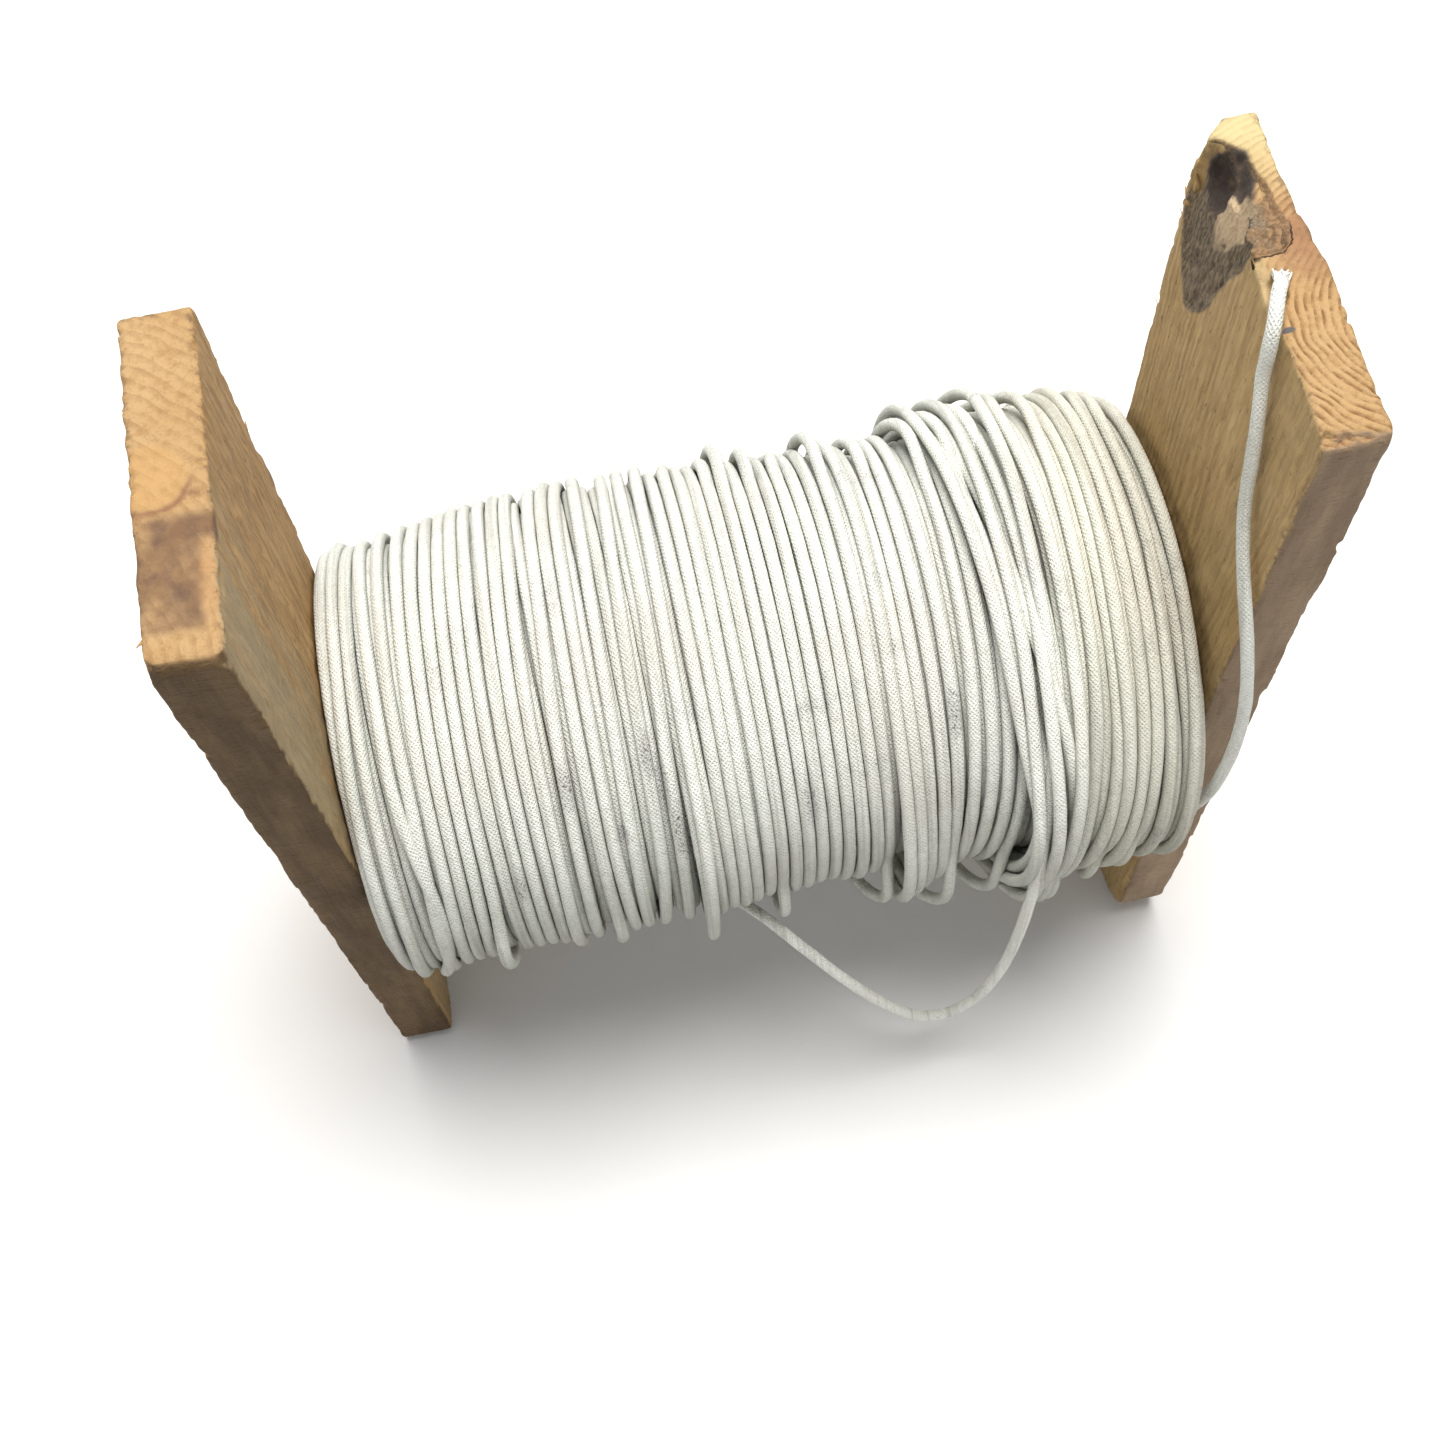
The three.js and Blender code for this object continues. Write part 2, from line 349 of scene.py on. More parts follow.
def tube(name, path, material, sides=12, radius=CORD / 2, seed=1):
    """A cord along a path in millimetres, slightly uneven, with length and turn as its UV."""
    path = np.asarray(path, float)
    side, up = transport(path)
    steps = np.linalg.norm(np.diff(path, axis=0), axis=1)
    along = np.concatenate([[0], np.cumsum(steps)])
    turn = np.arange(sides) / sides * TAU
    radii = np.broadcast_to(radius, len(path)) * (1 + 0.03 * wave_noise(along / 5, seed))
    ring = side[:, None] * np.cos(turn)[:, None] + up[:, None] * np.sin(turn)[:, None]
    lumps = 1 + 0.025 * wave_noise((along[:, None] / 2.3 + turn * 1.9).ravel(), seed + 1)
    ring = ring * lumps.reshape(len(path), sides, 1)
    points = path[:, None] + ring * radii[:, None, None]
    caps = [np.arange(sides)[::-1], np.arange(sides) + (len(path) - 1) * sides]
    mesh = quad_mesh(name, points.reshape(-1, 3), ring_quads(len(path), sides), caps)
    layer = mesh.uv_layers.new(name="UVMap")
    left, right = np.arange(sides) / sides, (np.arange(sides) + 1) / sides
    u0 = np.repeat(along[:-1], sides)
    u1 = np.repeat(along[1:], sides)
    v0, v1 = np.tile(left, len(path) - 1), np.tile(right, len(path) - 1)
    body = np.stack([u0, v0, u0, v1, u1, v1, u1, v0], -1).ravel()
    ends = np.concatenate([np.tile([along[0], 0.5], sides), np.tile([along[-1], 0.5], sides)])
    layer.data.foreach_set("uv", np.concatenate([body, ends]).astype(np.float32))
    return new_object(name, mesh, material)


def spline(route, pitch=1.2):
    """A smooth path through given points, resampled to even steps."""
    route = np.asarray(route, float)
    padded = np.vstack([2 * route[0] - route[1], route, 2 * route[-1] - route[-2]])
    share = np.linspace(0, 1, 24, endpoint=False)[:, None]
    pieces = []
    for a, b, c, d in zip(padded, padded[1:], padded[2:], padded[3:]):
        square, cube = 2 * a - 5 * b + 4 * c - d, 3 * b - a - 3 * c + d
        pieces.append(b + ((c - a) * share + square * share**2 + cube * share**3) / 2)
    dense = np.vstack(pieces + [route[-1:]])
    along = np.concatenate([[0], np.cumsum(np.linalg.norm(np.diff(dense, axis=0), axis=1))])
    even = np.linspace(0, along[-1], max(2, round(along[-1] / pitch)) + 1)
    return np.stack([np.interp(even, along, dense[:, i]) for i in range(3)], 1)


# ---------------- the cord's material

# Sooty places on the winding, as [point, reach along x, reach along the turns], in millimetres.
SOOT = [
    ((-46, -36, 158), 2.6, 8), ((-28, -33, 161), 1.9, 8), ((-26, -39, 155), 2.0, 11),
    ((-24, -45, 147), 2.1, 12), ((-36, -44, 147), 2.2, 4), ((5, -46, 146), 2.4, 11),
    ((38, -36, 158), 2.4, 10), ((-60, -47, 138), 2.2, 8),
]


def cord_material(name, grime, relief):
    """Waxed cotton braid. grime sets how yellow the turns by the right board are and how much painted
    shade darkens the side that faces down; relief sets how much painted shade darkens the grooves between
    the strands.
    """
    g = Graph(name)
    place = g.place()
    uv = g.split(g.output("UV", "ShaderNodeUVMap", uv_map="UVMap"))
    # A tight braid: two sets of strands that cross, nine each way round the cord.
    stray = g.noise(place, 0.9, 2, 0.5) * 0.9
    along = uv[0] * 0.95 + stray
    around = uv[1] * 9
    one = g.math("SINE", (along + around) * TAU)
    two = g.math("SINE", (along - around) * TAU)
    braid = g.math("MAXIMUM", one, two * 0.6)
    fuzz = g.noise(place, 2.6, 4, 0.62)
    height = braid * 0.75 + fuzz * 1.5
    # Colour: warm white, greyer and slightly pink in patches, with painted shade between the strands.
    patch = g.noise(place, 0.035, 2, 0.5)
    turns = g.join(uv[0] * 0.012, 0.0, g.split(place)[0] * 0.55)
    handled = g.noise(turns, 1.0, 3, 0.55)
    tones = [(0.35, (0.87, 0.885, 0.8)), (0.5, (0.92, 0.93, 0.86)), (0.68, (0.86, 0.845, 0.765))]
    clean = g.ramp(patch, tones)
    tinted = g.mix(g.step(handled, 0.46, 0.7), clean, (0.665, 0.66, 0.59))
    # The turns near the right board are the most handled ones, and a little yellow.
    yellowed = g.step(g.split(place)[0], 52, 80) * grime
    tinted = g.mix(yellowed, tinted, g.tint(tinted, (0.985, 0.953, 0.888)))
    # Painted shade: the grooves between the strands are darkened toward grey, more in random patches.
    groove = g.step(-1 * braid, -0.35, 0.35)
    worn = g.step(g.noise(place, 0.55, 2, 0.5), 0.36, 0.62)
    depth = 0.07 + worn * relief
    woven = g.mix(groove * depth, tinted, (0.3, 0.29, 0.265))
    grain = g.step(g.noise(place, 1.4, 4, 0.7), 0.46, 0.66)
    woven = g.mix(grain * 0.55, woven, g.tint(woven, (0.8, 0.795, 0.77)))
    # Painted shade: the side that faces down is darkened toward grey, as far as grime sets.
    underside_shade = 1 - g.step(g.normal()[2], -0.6, 0.62)
    shaded_tint = g.tint(woven, (0.44, 0.44, 0.41))
    woven = g.mix(underside_shade * grime, woven, shaded_tint)
    # Soot: fine dark specks that gather in a few smudges.
    speck = g.step(g.noise(place, 1.5, 3, 0.7), 0.52, 0.65)
    smudge = g.step(g.noise(place, 0.06, 3, 0.6), 0.57, 0.74) * 0.55
    for point, across, reach in SOOT:
        offset = g.vector("SUBTRACT", place, point)
        away = g.vector("LENGTH", g.vector("DIVIDE", offset, (across, reach, reach)))
        smudge = g.math("MAXIMUM", smudge, 1 - g.step(away, 0.25, 1.0))
    soot = (smudge * 0.9 + 0.09) * speck
    woven = g.mix(smudge * 0.42, woven, (0.36, 0.352, 0.345))
    colour = g.mix(soot, woven, (0.11, 0.105, 0.1))
    normal = g.bump(height, 0.2, 0.9)
    roughness = g.ramp(fuzz, [(0.3, 0.55), (0.7, 0.78)])
    material = g.finish(colour, roughness, normal, 0.3)
    g.shader.inputs["Sheen Weight"].default_value = 0.1
    g.shader.inputs["Sheen Roughness"].default_value = 0.5
    return material


# ---------------- free cords

# The tail leaves the winding beside its right end and rises to the notch in the right board.
TAIL_ROUTE = [
    (97.3, -45.2, 97), (97.4, -47.4, 107), (97.4, -49.2, 117.5), (97.2, -50.3, 130),
    (96.8, -50.6, 144), (96.2, -49.9, 157), (95.4, -48.4, 168), (94.4, -45.6, 178),
    (93.5, -41.6, 187), (93, -37, 193.8), (93, -32.6, 199), (93.1, -28.4, 204.6), (93.2, -25, 211.4),
    (93.3, -22.2, 220.6), (93.3, -19, 230.4), (93.4, -15.8, 238.2), (93.4, -14.8, 243.6),
    (93.5, -13.9, 247), (94, -12.3, 249.6), (94.8, -10.1, 250.8), (95.9, -7.5, 250.9),
    (97.2, -5.2, 250), (98.3, -3.6, 248.5),
]
# The loop is one slack outer turn: over the top, down past the front and back underneath.
LOOP_ROUTE = [
    (60.1, 38.2, 161.4), (60, 26.4, 168.9), (60, 11.4, 174.1), (59.6, -1.8, 175.2),
    (59.2, -13.2, 173.7), (59, -22.4, 170.8), (58.6, -30.9, 166.4), (58, -38.8, 160.8),
    (57, -46.2, 153.4), (55.6, -53, 143.8), (54.2, -58.4, 132), (53.4, -61.6, 119),
    (52.7, -63.2, 104), (52, -64.1, 84), (50.2, -64.8, 62), (45.8, -65.2, 41.6), (39, -65.4, 31.2),
    (32, -65.2, 31.4), (25, -64.6, 39.4), (17, -63, 53), (9.4, -60.6, 67.4), (3.4, -57.6, 78),
    (-2, -54, 85.6), (-6.4, -50, 89.4), (-10.4, -45.2, 88.4), (-13.5, -38.8, 80.5),
]


def free_cord(name, node, route, material):
    path = spline(route)
    made = tube(name, path, material, sides=16, seed=len(name))
    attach(made, "root")
    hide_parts(node)


FRAY = ((97.1, -1.7, 248.8), (100.2, -2.3, 248.8))  # the line that the loose strands reach
STRANDS, STRAND = 70, 0.22  # how many there are, and a strand's radius


def cord_fray(material):
    """The cord's cut end, whose strands have spread over the board's top."""
    draw = np.random.default_rng(5)
    base, before = np.array(TAIL_ROUTE[-1]), np.array(TAIL_ROUTE[-2])
    low, high = np.array(FRAY)
    points, quads = [], []
    for strand in range(STRANDS):
        foot = base + (before - base) * 0.5 + draw.uniform(-1.1, 1.1, 3) * (1, 0.7, 0.5)
        tip = low + (high - low) * draw.random() + draw.normal(0, (0.35, 0.5, 0.25))
        knee = (foot + tip) / 2 + (0, 0, draw.uniform(0.3, 1.0))
        share = np.linspace(0, 1, 6)[:, None]
        path = (1 - share) ** 2 * foot + 2 * share * (1 - share) * knee + share**2 * tip
        side, up = transport(path)
        rings = [path + STRAND * (side * u + up * v) for u, v in ((1, 0), (0, 1), (-1, 0), (0, -1))]
        quads.append(strand * 24 + np.concatenate([ring_quads(6, 4), [[3, 2, 1, 0], [20, 21, 22, 23]]]))
        points.append(np.stack(rings, 1).reshape(-1, 3))
    mesh = quad_mesh("cord_fray", np.concatenate(points), np.concatenate(quads))
    fray = new_object("cord_fray", mesh, material)
    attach(fray, "root")
    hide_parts("cord_tail")
    return fray


# ---------------- the winding

# [x, radius, centre height] of the winding's outside, from board to board.
STATIONS = np.array(
    [
        (-94.3, 48.6, 111),
        (-90, 49.8, 112.4),
        (-75, 51.2, 115.5),
        (-55, 52.2, 119),
        (-22, 52.4, 119.6),
        (-8, 51.3, 119.4),
        (10, 50.4, 119.9),
        (24, 49.6, 120),
        (38, 49.7, 119.4),
        (48, 53.0, 117.8),
        (60, 56.8, 115.4),
        (76, 57.5, 113),
        (90, 56.2, 110),
        (95.1, 54.8, 109),
    ]
)
LEFT_END, RIGHT_END = -92.7, 93.5  # the outermost cord centres
BINS = 120  # steps in each turn
WOUND = 2.96  # its width in the winding, where it is pressed a little flat
OVERLAP = 7  # steps for which two lengths of the winding run one inside the other
DRAWN = 16  # steps over which the end of a length is drawn to its place
MOST_TURNS = 220  # room for every turn that crosses one step
FLANK_LAYERS = 9  # layers that show as rings where the winding stands out beside the boards
NESTING = 0.97  # cords bed into each other a little
CORE_HALF = 19.6  # half the side of the hole that the core fills
CORE_HEIGHT = 119


def centre_height(x):
    return np.interp(x, STATIONS[:, 0], STATIONS[:, 2])


def body_radius(x):
    """Radius of the wound body under the turns that are laid one by one."""
    surface = np.interp(x, STATIONS[:, 0], STATIONS[:, 1])
    layers = 2.55 - 0.7 * smooth_step(x, -22, -8) + 0.95 * smooth_step(x, 44, 58)
    return surface - layers * WOUND


def blur(values, width):
    """Gaussian smoothing along a path."""
    reach = int(3 * width)
    kernel = np.exp(-0.5 * (np.arange(-reach, reach + 1) / width) ** 2)
    padded = np.pad(values, reach, mode="edge")
    return np.convolve(padded, kernel / kernel.sum(), mode="valid")


def highest(values, reach):
    """The highest value within reach of each one."""
    padded = np.pad(values, reach, mode="edge")
    return np.max([padded[i : i + len(values)] for i in range(2 * reach + 1)], axis=0)


class Winding:
    """Lays the cord turn by turn: it rests on what lies under it and slides off what is beside it."""

    def __init__(self):
        self.x = np.full((BINS, MOST_TURNS), 1e3)
        self.r = np.zeros((BINS, MOST_TURNS))
        self.count = np.zeros(BINS, int)

    def rest(self, place, x):
        """Radius at which a cord centre rests, for each x tried at one step of the turn."""
        across = np.abs(self.x[place, : self.count[place], None] - x)
        lift = NESTING * np.sqrt(np.maximum(WOUND**2 - across**2, 0))
        height = np.where(across < WOUND, self.r[place, : self.count[place], None] + lift, 0)
        return np.maximum(body_radius(x) + WOUND / 2, height.max(axis=0, initial=0))

    def lay(self, guide, start, slide=1.3):
        """x and radius of a cord that follows guide, one value for each step, from step start."""
        tried = np.linspace(-slide, slide, 14)
        laid = np.empty((len(guide), 2))
        offset = 0.0
        for i, wanted in enumerate(guide):
            place = (start - i) % BINS
            options = np.clip(wanted + tried, LEFT_END, RIGHT_END)
            radius = self.rest(place, options)
            cost = radius + 0.12 * tried**2 + 1.6 * (tried - offset) ** 2
            best = int(np.argmin(cost))
            offset = tried[best]
            laid[i] = options[best], radius[best]
            self.x[place, self.count[place]], self.r[place, self.count[place]] = laid[i]
            self.count[place] += 1
        return blur(laid[:, 0], 4), blur(highest(laid[:, 1], 2), 3.5)


def advance(pitches, start, sway_seed, sway, lean=0.0):
    """x of a cord for each step, from the pitch of each turn.

    The turns sway: near the top and near the bottom they lie a little to one side."""
    count = len(pitches)
    turns = np.arange(count * BINS + 1) / BINS
    x = start + np.interp(turns, np.arange(count + 1), np.concatenate([[0], np.cumsum(pitches)]))
    angle = -turns * TAU
    slow = wave_noise(turns / 7, sway_seed)
    own = wave_noise(turns / 1.5, sway_seed + 1)
    drift = wave_noise(turns / 0.7, sway_seed + 2)
    phase = 1.5 * wave_noise(turns / 5, sway_seed + 3)
    wide = sway * (slow + 0.5 * own) + (lean(x) if callable(lean) else lean)
    return x + wide * np.sin(angle + phase - 0.3) + 0.12 * sway * drift


def uneven(count, total, share, seed):
    """Pitches that add up to total: most are close, some leave a gap."""
    draw = np.random.default_rng(seed)
    gaps = np.where(draw.random(count) < share, draw.exponential(1.0, count), 0.02)
    closest = min(WOUND * 1.005, 0.97 * abs(total) / count)
    gaps *= (abs(total) - closest * count) / gaps.sum()
    return np.sign(total) * (closest + gaps)


# Slack in single turns: [x, angle, half width, rise, lean], angles in degrees from the back over the top.
# The lean is greatest on the side that the camera doesn't see, so that a slack turn opens into an arc.
SLACK_OUTER = [
    (-3, 46, 14, 2.4, -0.8), (1, 44, 20, 5.4, -1.2), (5, 44, 16, 3.6, -0.8), (20, 46, 22, 3.8, -2.2),
    (32, 48, 20, 3.0, -1.8), (42, 50, 24, 4.4, -2.6), (49, 53, 28, 5.0, -3.0),
    (55, 51, 24, 5.2, -3.0), (-58, 44, 14, 1.3, 0.6), (-44, 42, 14, 1.6, -0.8),
    (-26, 42, 16, 1.8, 1.0), (-14, 43, 14, 1.5, 0.8), (12, 44, 14, 1.5, 0.9),
    (-1, 207, 18, 6.4, -1.2), (22, 214, 26, 10.0, -7.5), (37, 213, 30, 9.0, -9.0),
    (47, 216, 34, 8.5, -6.5),
]
SLACK_TOP = [
    (52, 196, 30, 5.0, -2.5), (58, 206, 34, 8.0, 4.5), (63, 218, 30, 9.5, -5.0),
    (66, 52, 24, 2.6, 2.2), (72, 50, 24, 2.8, -2.0), (70, 212, 28, 6.0, 3.4),
    (78, 204, 26, 3.6, -2.0), (82, 52, 22, 2.0, 1.4), (88, 54, 22, 1.4, 1.0),
]
SLACK_LEFT = [
    (-69, 188, 20, 3.0, 1.5), (-82, 132, 50, 0.8, 4.5), (-40, 196, 18, 2.4, -1.0),
    (-22, 200, 16, 2.2, 1.2),
]


def bow(away, reach):
    """1 in the middle, falling smoothly to 0 at reach."""
    return np.cos(np.clip(away / reach, -1, 1) * pi / 2) ** 2


def slacken(x, r, start, slack):
    """Lifts the turn nearest to each slack place away from the winding."""
    x, r = x.copy(), r.copy()
    step = start - np.arange(len(x))
    for at, angle, half, rise, lean in slack:
        centre = round(angle / 360 * BINS)
        passes = np.flatnonzero(step % BINS == centre)
        middle = passes[np.argmin(np.abs(x[passes] - at))]
        reach = half / 360 * BINS
        # The lean is centred on the side that the photo doesn't show.
        hidden = middle + (0.7 * reach if angle < 90 else -0.7 * reach)
        r += rise * bow(np.arange(len(x)) - middle, reach)
        x += lean * bow(np.arange(len(x)) - hidden, reach)
    return x, r


def path_of(x, r, start):
    """Points of a turn path in space."""
    angle = (start - np.arange(len(x))) / BINS * TAU
    return np.stack([x, r * np.cos(angle), centre_height(x) + r * np.sin(angle)], 1)


def right_lean(x):
    """The turns of the fuller right third lean over, less so near the board."""
    return 4.5 * smooth_step(x, 30, 52) * (1 - smooth_step(x, 60, 90))


UNDER_TURNS, OUTER_RIGHT_TURNS, OUTER_LEFT_TURNS, LEFT_TURNS = 61, 12, 46, 21
LOOP_ANGLE, TAIL_ANGLE = 226, 218  # where the loop leaves the left part, and the tail the right one
# The last turn's end, and the way from there, round the board's front edge, to the tail.
LAST_POINT = (93.4, -42.0, 75)
LEAVING = [(94.4, -43.9, 82), (96.1, -45.1, 89.5), TAIL_ROUTE[0], TAIL_ROUTE[1]]
FIRST_SUNK = (1.5, -3.2, 0)  # how far the cord's hidden first end sinks into the body


def steps_to(start, angle):
    """Steps from a start to the next place at an angle, going round with the cord."""
    return round(start - angle / 360 * BINS) % BINS


def lay_winding():
    """Under-layer, outer layer, top turns: one cord that goes right, left and right again."""
    winding = Winding()
    under = advance(uneven(UNDER_TURNS, RIGHT_END - LEFT_END, 0.2, 3), LEFT_END, 11, 0.3)
    under_x, under_r = winding.lay(under, 0)
    # Back to the left end, with gaps and with the lean of the fuller part.
    full = 44
    loose = uneven(OUTER_RIGHT_TURNS, -full, 0.6, 5)
    close = uneven(OUTER_LEFT_TURNS, LEFT_END - RIGHT_END + full, 0.35, 8)
    outer = advance(np.concatenate([loose, close]), RIGHT_END, 21, 1.0, right_lean)
    outer_x, outer_r = winding.lay(outer, 0)
    # To the right again over the left part, up to where the loose loop leaves.
    left = advance(uneven(LEFT_TURNS, -14.5 - LEFT_END, 0.8, 13), LEFT_END, 31, 1.6)
    left = left[: (LEFT_TURNS - 1) * BINS + steps_to(0, LOOP_ANGLE)]
    left_x, left_r = winding.lay(left, 0)
    # The loop comes back at the right third; it goes a little left, then right to the board.
    right_start = round(50.3 / 360 * BINS)
    back = -uneven(3, 13, 0.5, 17)
    right = advance(np.concatenate([back, uneven(11, 47, 0.7, 19)]), 60, 41, 1.0, right_lean)
    right = right[: 13 * BINS + steps_to(right_start, TAIL_ANGLE)]
    right_x, right_r = winding.lay(right, right_start)
    return [
        ("winding_under", under_x, under_r, 0, []),
        ("winding_outer", outer_x, outer_r, 0, SLACK_OUTER),
        ("winding_left", left_x, left_r, 0, SLACK_LEFT),
        ("winding_right", right_x, right_r, right_start, SLACK_TOP),
    ]


def lead(path, point, at_end, reach=DRAWN):
    """Draws the last or the first part of a path smoothly to a point."""
    away = np.arange(len(path))[::-1] if at_end else np.arange(len(path))
    share = 1 - smooth_step(away, 0, reach)
    gap = np.array(point, float) - path[-1 if at_end else 0]
    return path + share[:, None] * gap


def thinned(count, first, last):
    """Radius along a length of the winding, thinner at an end that another length covers."""
    step = np.arange(count)
    covered = first * (1 - smooth_step(step, 0, 3)) + last * smooth_step(step, count - 4, count - 1)
    return WOUND / 2 * (1 - 0.15 * covered)


def winding_pieces(material):
    for seed, (name, x, r, start, slack) in enumerate(lay_winding()):
        x, r = slacken(x, r, start, slack)
        path = path_of(x, r, start)
        # Where the cord turns back at a board, one length starts inside the end of the one before.
        starts_inside = name in ("winding_outer", "winding_left")
        ends_inside = name in ("winding_under", "winding_outer")
        if name == "winding_under":
            path = lead(path, path[0] + FIRST_SUNK, False)
        if starts_inside:
            path = lead(path, before[-1], False)
            path = np.vstack([before[-1 - OVERLAP : -1], path])
        if name == "winding_left":
            path = lead(path, LOOP_ROUTE[-1], True)
        if name == "winding_right":
            path = lead(path, LOOP_ROUTE[0], False)
            path = lead(path, LAST_POINT, True, DRAWN - 2)
            path = np.vstack([path[:-2], spline([path[-3], path[-1], *LEAVING])[1:]])
        before = path
        radius = thinned(len(path), starts_inside, ends_inside)
        made = tube(name, path, material, radius=radius, seed=100 + 7 * seed)
        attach(made, "root")
        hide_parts("cord_winding")


def winding_body(material):
    """The deeper turns, seen through gaps and beside the boards: a ridged ring round the core."""
    x = np.arange(LEFT_END - WOUND / 2, RIGHT_END + WOUND / 2 + 0.1, WOUND / 6)
    turn = np.arange(BINS) / BINS * TAU
    ridge = np.abs(np.sin((x[:, None] / WOUND + turn / TAU) * pi))
    radius = body_radius(x)[:, None] - 1.1 * (1 - ridge)
    outside = [
        np.broadcast_to(x[:, None], radius.shape),
        radius * np.cos(turn),
        centre_height(x)[:, None] + radius * np.sin(turn),
    ]
    hole = CORE_HALF / np.maximum(np.abs(np.cos(turn)), np.abs(np.sin(turn)))
    share = np.arange(1, 8 * FLANK_LAYERS + 1)[:, None] / (8 * FLANK_LAYERS)
    across_cord = 2 * (FLANK_LAYERS * share % 1) - 1
    groove = WOUND / 2 * (1 - np.sqrt(1 - across_cord**2))
    flanks = []
    for end, way in ((-1, 1), (0, -1)):
        rim = np.stack([outside[1][end], outside[2][end]], -1)
        inner = np.stack([hole * np.cos(turn), CORE_HEIGHT + hole * np.sin(turn)], -1)
        across = rim + share[:, :, None] * (inner - rim)
        level = np.broadcast_to(x[end] - way * groove, across.shape[:2])
        flanks.append(np.concatenate([level[:, :, None], across], -1))
    points = np.concatenate([np.stack(outside, -1), flanks[0], flanks[1][::-1]])
    quads = ring_quads(len(points), BINS, True)[:, ::-1]
    mesh = quad_mesh("winding_body", points.reshape(-1, 3), quads)
    made = new_object("winding_body", mesh, material)
    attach(made, "root")
    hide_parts("cord_winding")


# ---------------- the boards


class Board:
    """Sizes of one end board. The front and back edges lean: each has its y at the foot and at the head.

    thinner is how much thinner it is at the back. radii are its outline's corners: foot front, foot
    back, head back, head front."""

    def __init__(self, name, node, inner, outer, height, front, back, thinner, radii):
        self.name, self.node = name, node
        self.inner, self.outer = inner, outer
        self.height = height
        self.front, self.back = front, back
        self.thinner = thinner
        self.radii = radii

    def edges(self, z):
        """y of the front and of the back edge at a height."""
        share = z / self.height
        return [foot + (head - foot) * share for foot, head in (self.front, self.back)]

    def sides(self, x, y):
        """Distance inside the nearer large face; toward the back a board can be thinner."""
        away = np.abs(x)
        outer = abs(self.outer) - self.thinner * smooth_step(y, -5, 22)
        return np.minimum(outer - away, away - abs(self.inner))


LEFT = Board(
    "left_board", "left_end_board", -94.6, -108.8, 247, (-35.8, -38.9), (36.5, 34.9), 0.0, (6, 5, 1.6, 3)
)
RIGHT = Board(
    "right_board", "right_end_board", 95.4, 108.3, 248, (-39.4, -37.9), (29.7, 35.6), 2.3, (13, 5, 1.2, 3)
)
NAIL_FACE = 107.6  # the nail heads are set below this distance from the middle
NAIL_HEIGHTS = (109, 129)
NAIL_SEAT = (3.25, 1.75)  # radius and depth
HEAD_PART = 52  # the top part of a board, which is sampled finely
FINE, ACROSS, COARSE = 0.55, 0.6, 1.15  # steps of the sampling grid
ABSENT = -9  # far inside the board, so a cut with this value takes nothing away


def both(a, b, radius):
    """Inside both shapes, with a rounded edge where they meet."""
    u, v = np.maximum(radius + a, 0), np.maximum(radius + b, 0)
    return np.minimum(np.maximum(a, b), -radius) + np.hypot(u, v)


def layered(points, scale, seed, octaves=2):
    """Noise with some finer noise in it; scale is the size of a lump along x, y and z."""
    total = 0.0
    for i in range(octaves):
        total = total + lattice_noise(points * 2**i / np.array(scale), seed + i) / 2**i
    return total


def in_outline(u, v, outline):
    """Distance to a closed outline, positive inside it."""
    outline = np.asarray(outline, float)
    nearest = np.full(u.shape, 1e9)
    odd = np.zeros(u.shape, bool)
    for (a, b), (c, d) in zip(outline, np.roll(outline, -1, axis=0)):
        share = np.clip(((u - a) * (c - a) + (v - b) * (d - b)) / ((c - a) ** 2 + (d - b) ** 2), 0, 1)
        nearest = np.minimum(nearest, np.hypot(u - a - share * (c - a), v - b - share * (d - b)))
        if b != d:
            crosses = (b > v) != (d > v)
            odd ^= crosses & (u < (c - a) * (v - b) / (d - b) + a)
    return np.where(odd, nearest, -nearest)


def slab(board, p):
    """Distance field of the sawn board with worn, chipped edges."""
    x, y, z = p.T
    seed = 40 if board is LEFT else 70
    y = y + 0.45 * layered(p, (60, 60, 34), seed) + 0.16 * layered(p, (5, 60, 6), seed + 3)
    front_edge, back_edge = board.edges(z)
    middle = (front_edge + back_edge) / 2
    front, back = front_edge - y, y - back_edge
    foot, top = -z, z - board.height + 0.12 * layered(p, (3, 3, 60), seed + 5)
    radii = np.where(
        z < board.height / 2,
        np.where(y < middle, board.radii[0], board.radii[1]),
        np.where(y < middle, board.radii[3], board.radii[2]),
    )
    outline = both(np.maximum(front, back), np.maximum(foot, top), radii)
    bow = 0.25 * layered(p, (60, 30, 90), seed + 7) + 0.22 * layered(p, (60, 5, 7), seed + 9)
    across = 0.08 - board.sides(x, y) + bow * 0.5
    across = across + 0.24 * layered(p, (60, 2.6, 3.8), seed + 19)
    wear = 0.75 + 0.9 * np.clip(layered(p, (6, 5, 9), seed + 11), 0, 1)
    chip = 1.9 * smooth_step(layered(p, (3, 2.6, 5), seed + 13), 0.42, 0.8)
    solid = both(across, outline, wear + chip)
    fibre = 0.07 * layered(p, (1.1, 1.1, 14), seed + 15) + 0.05 * layered(p, (0.9, 0.9, 2), seed + 17)
    return solid + fibre


def nail_seats(p, solid):
    """Sinks the nail heads into the outer face."""
    x, y, z = p.T
    depth = NAIL_FACE - NAIL_SEAT[1] - np.abs(x)
    for height in NAIL_HEIGHTS:
        solid = np.maximum(solid, -np.maximum(np.hypot(y, z - height) - NAIL_SEAT[0], depth))
    return solid


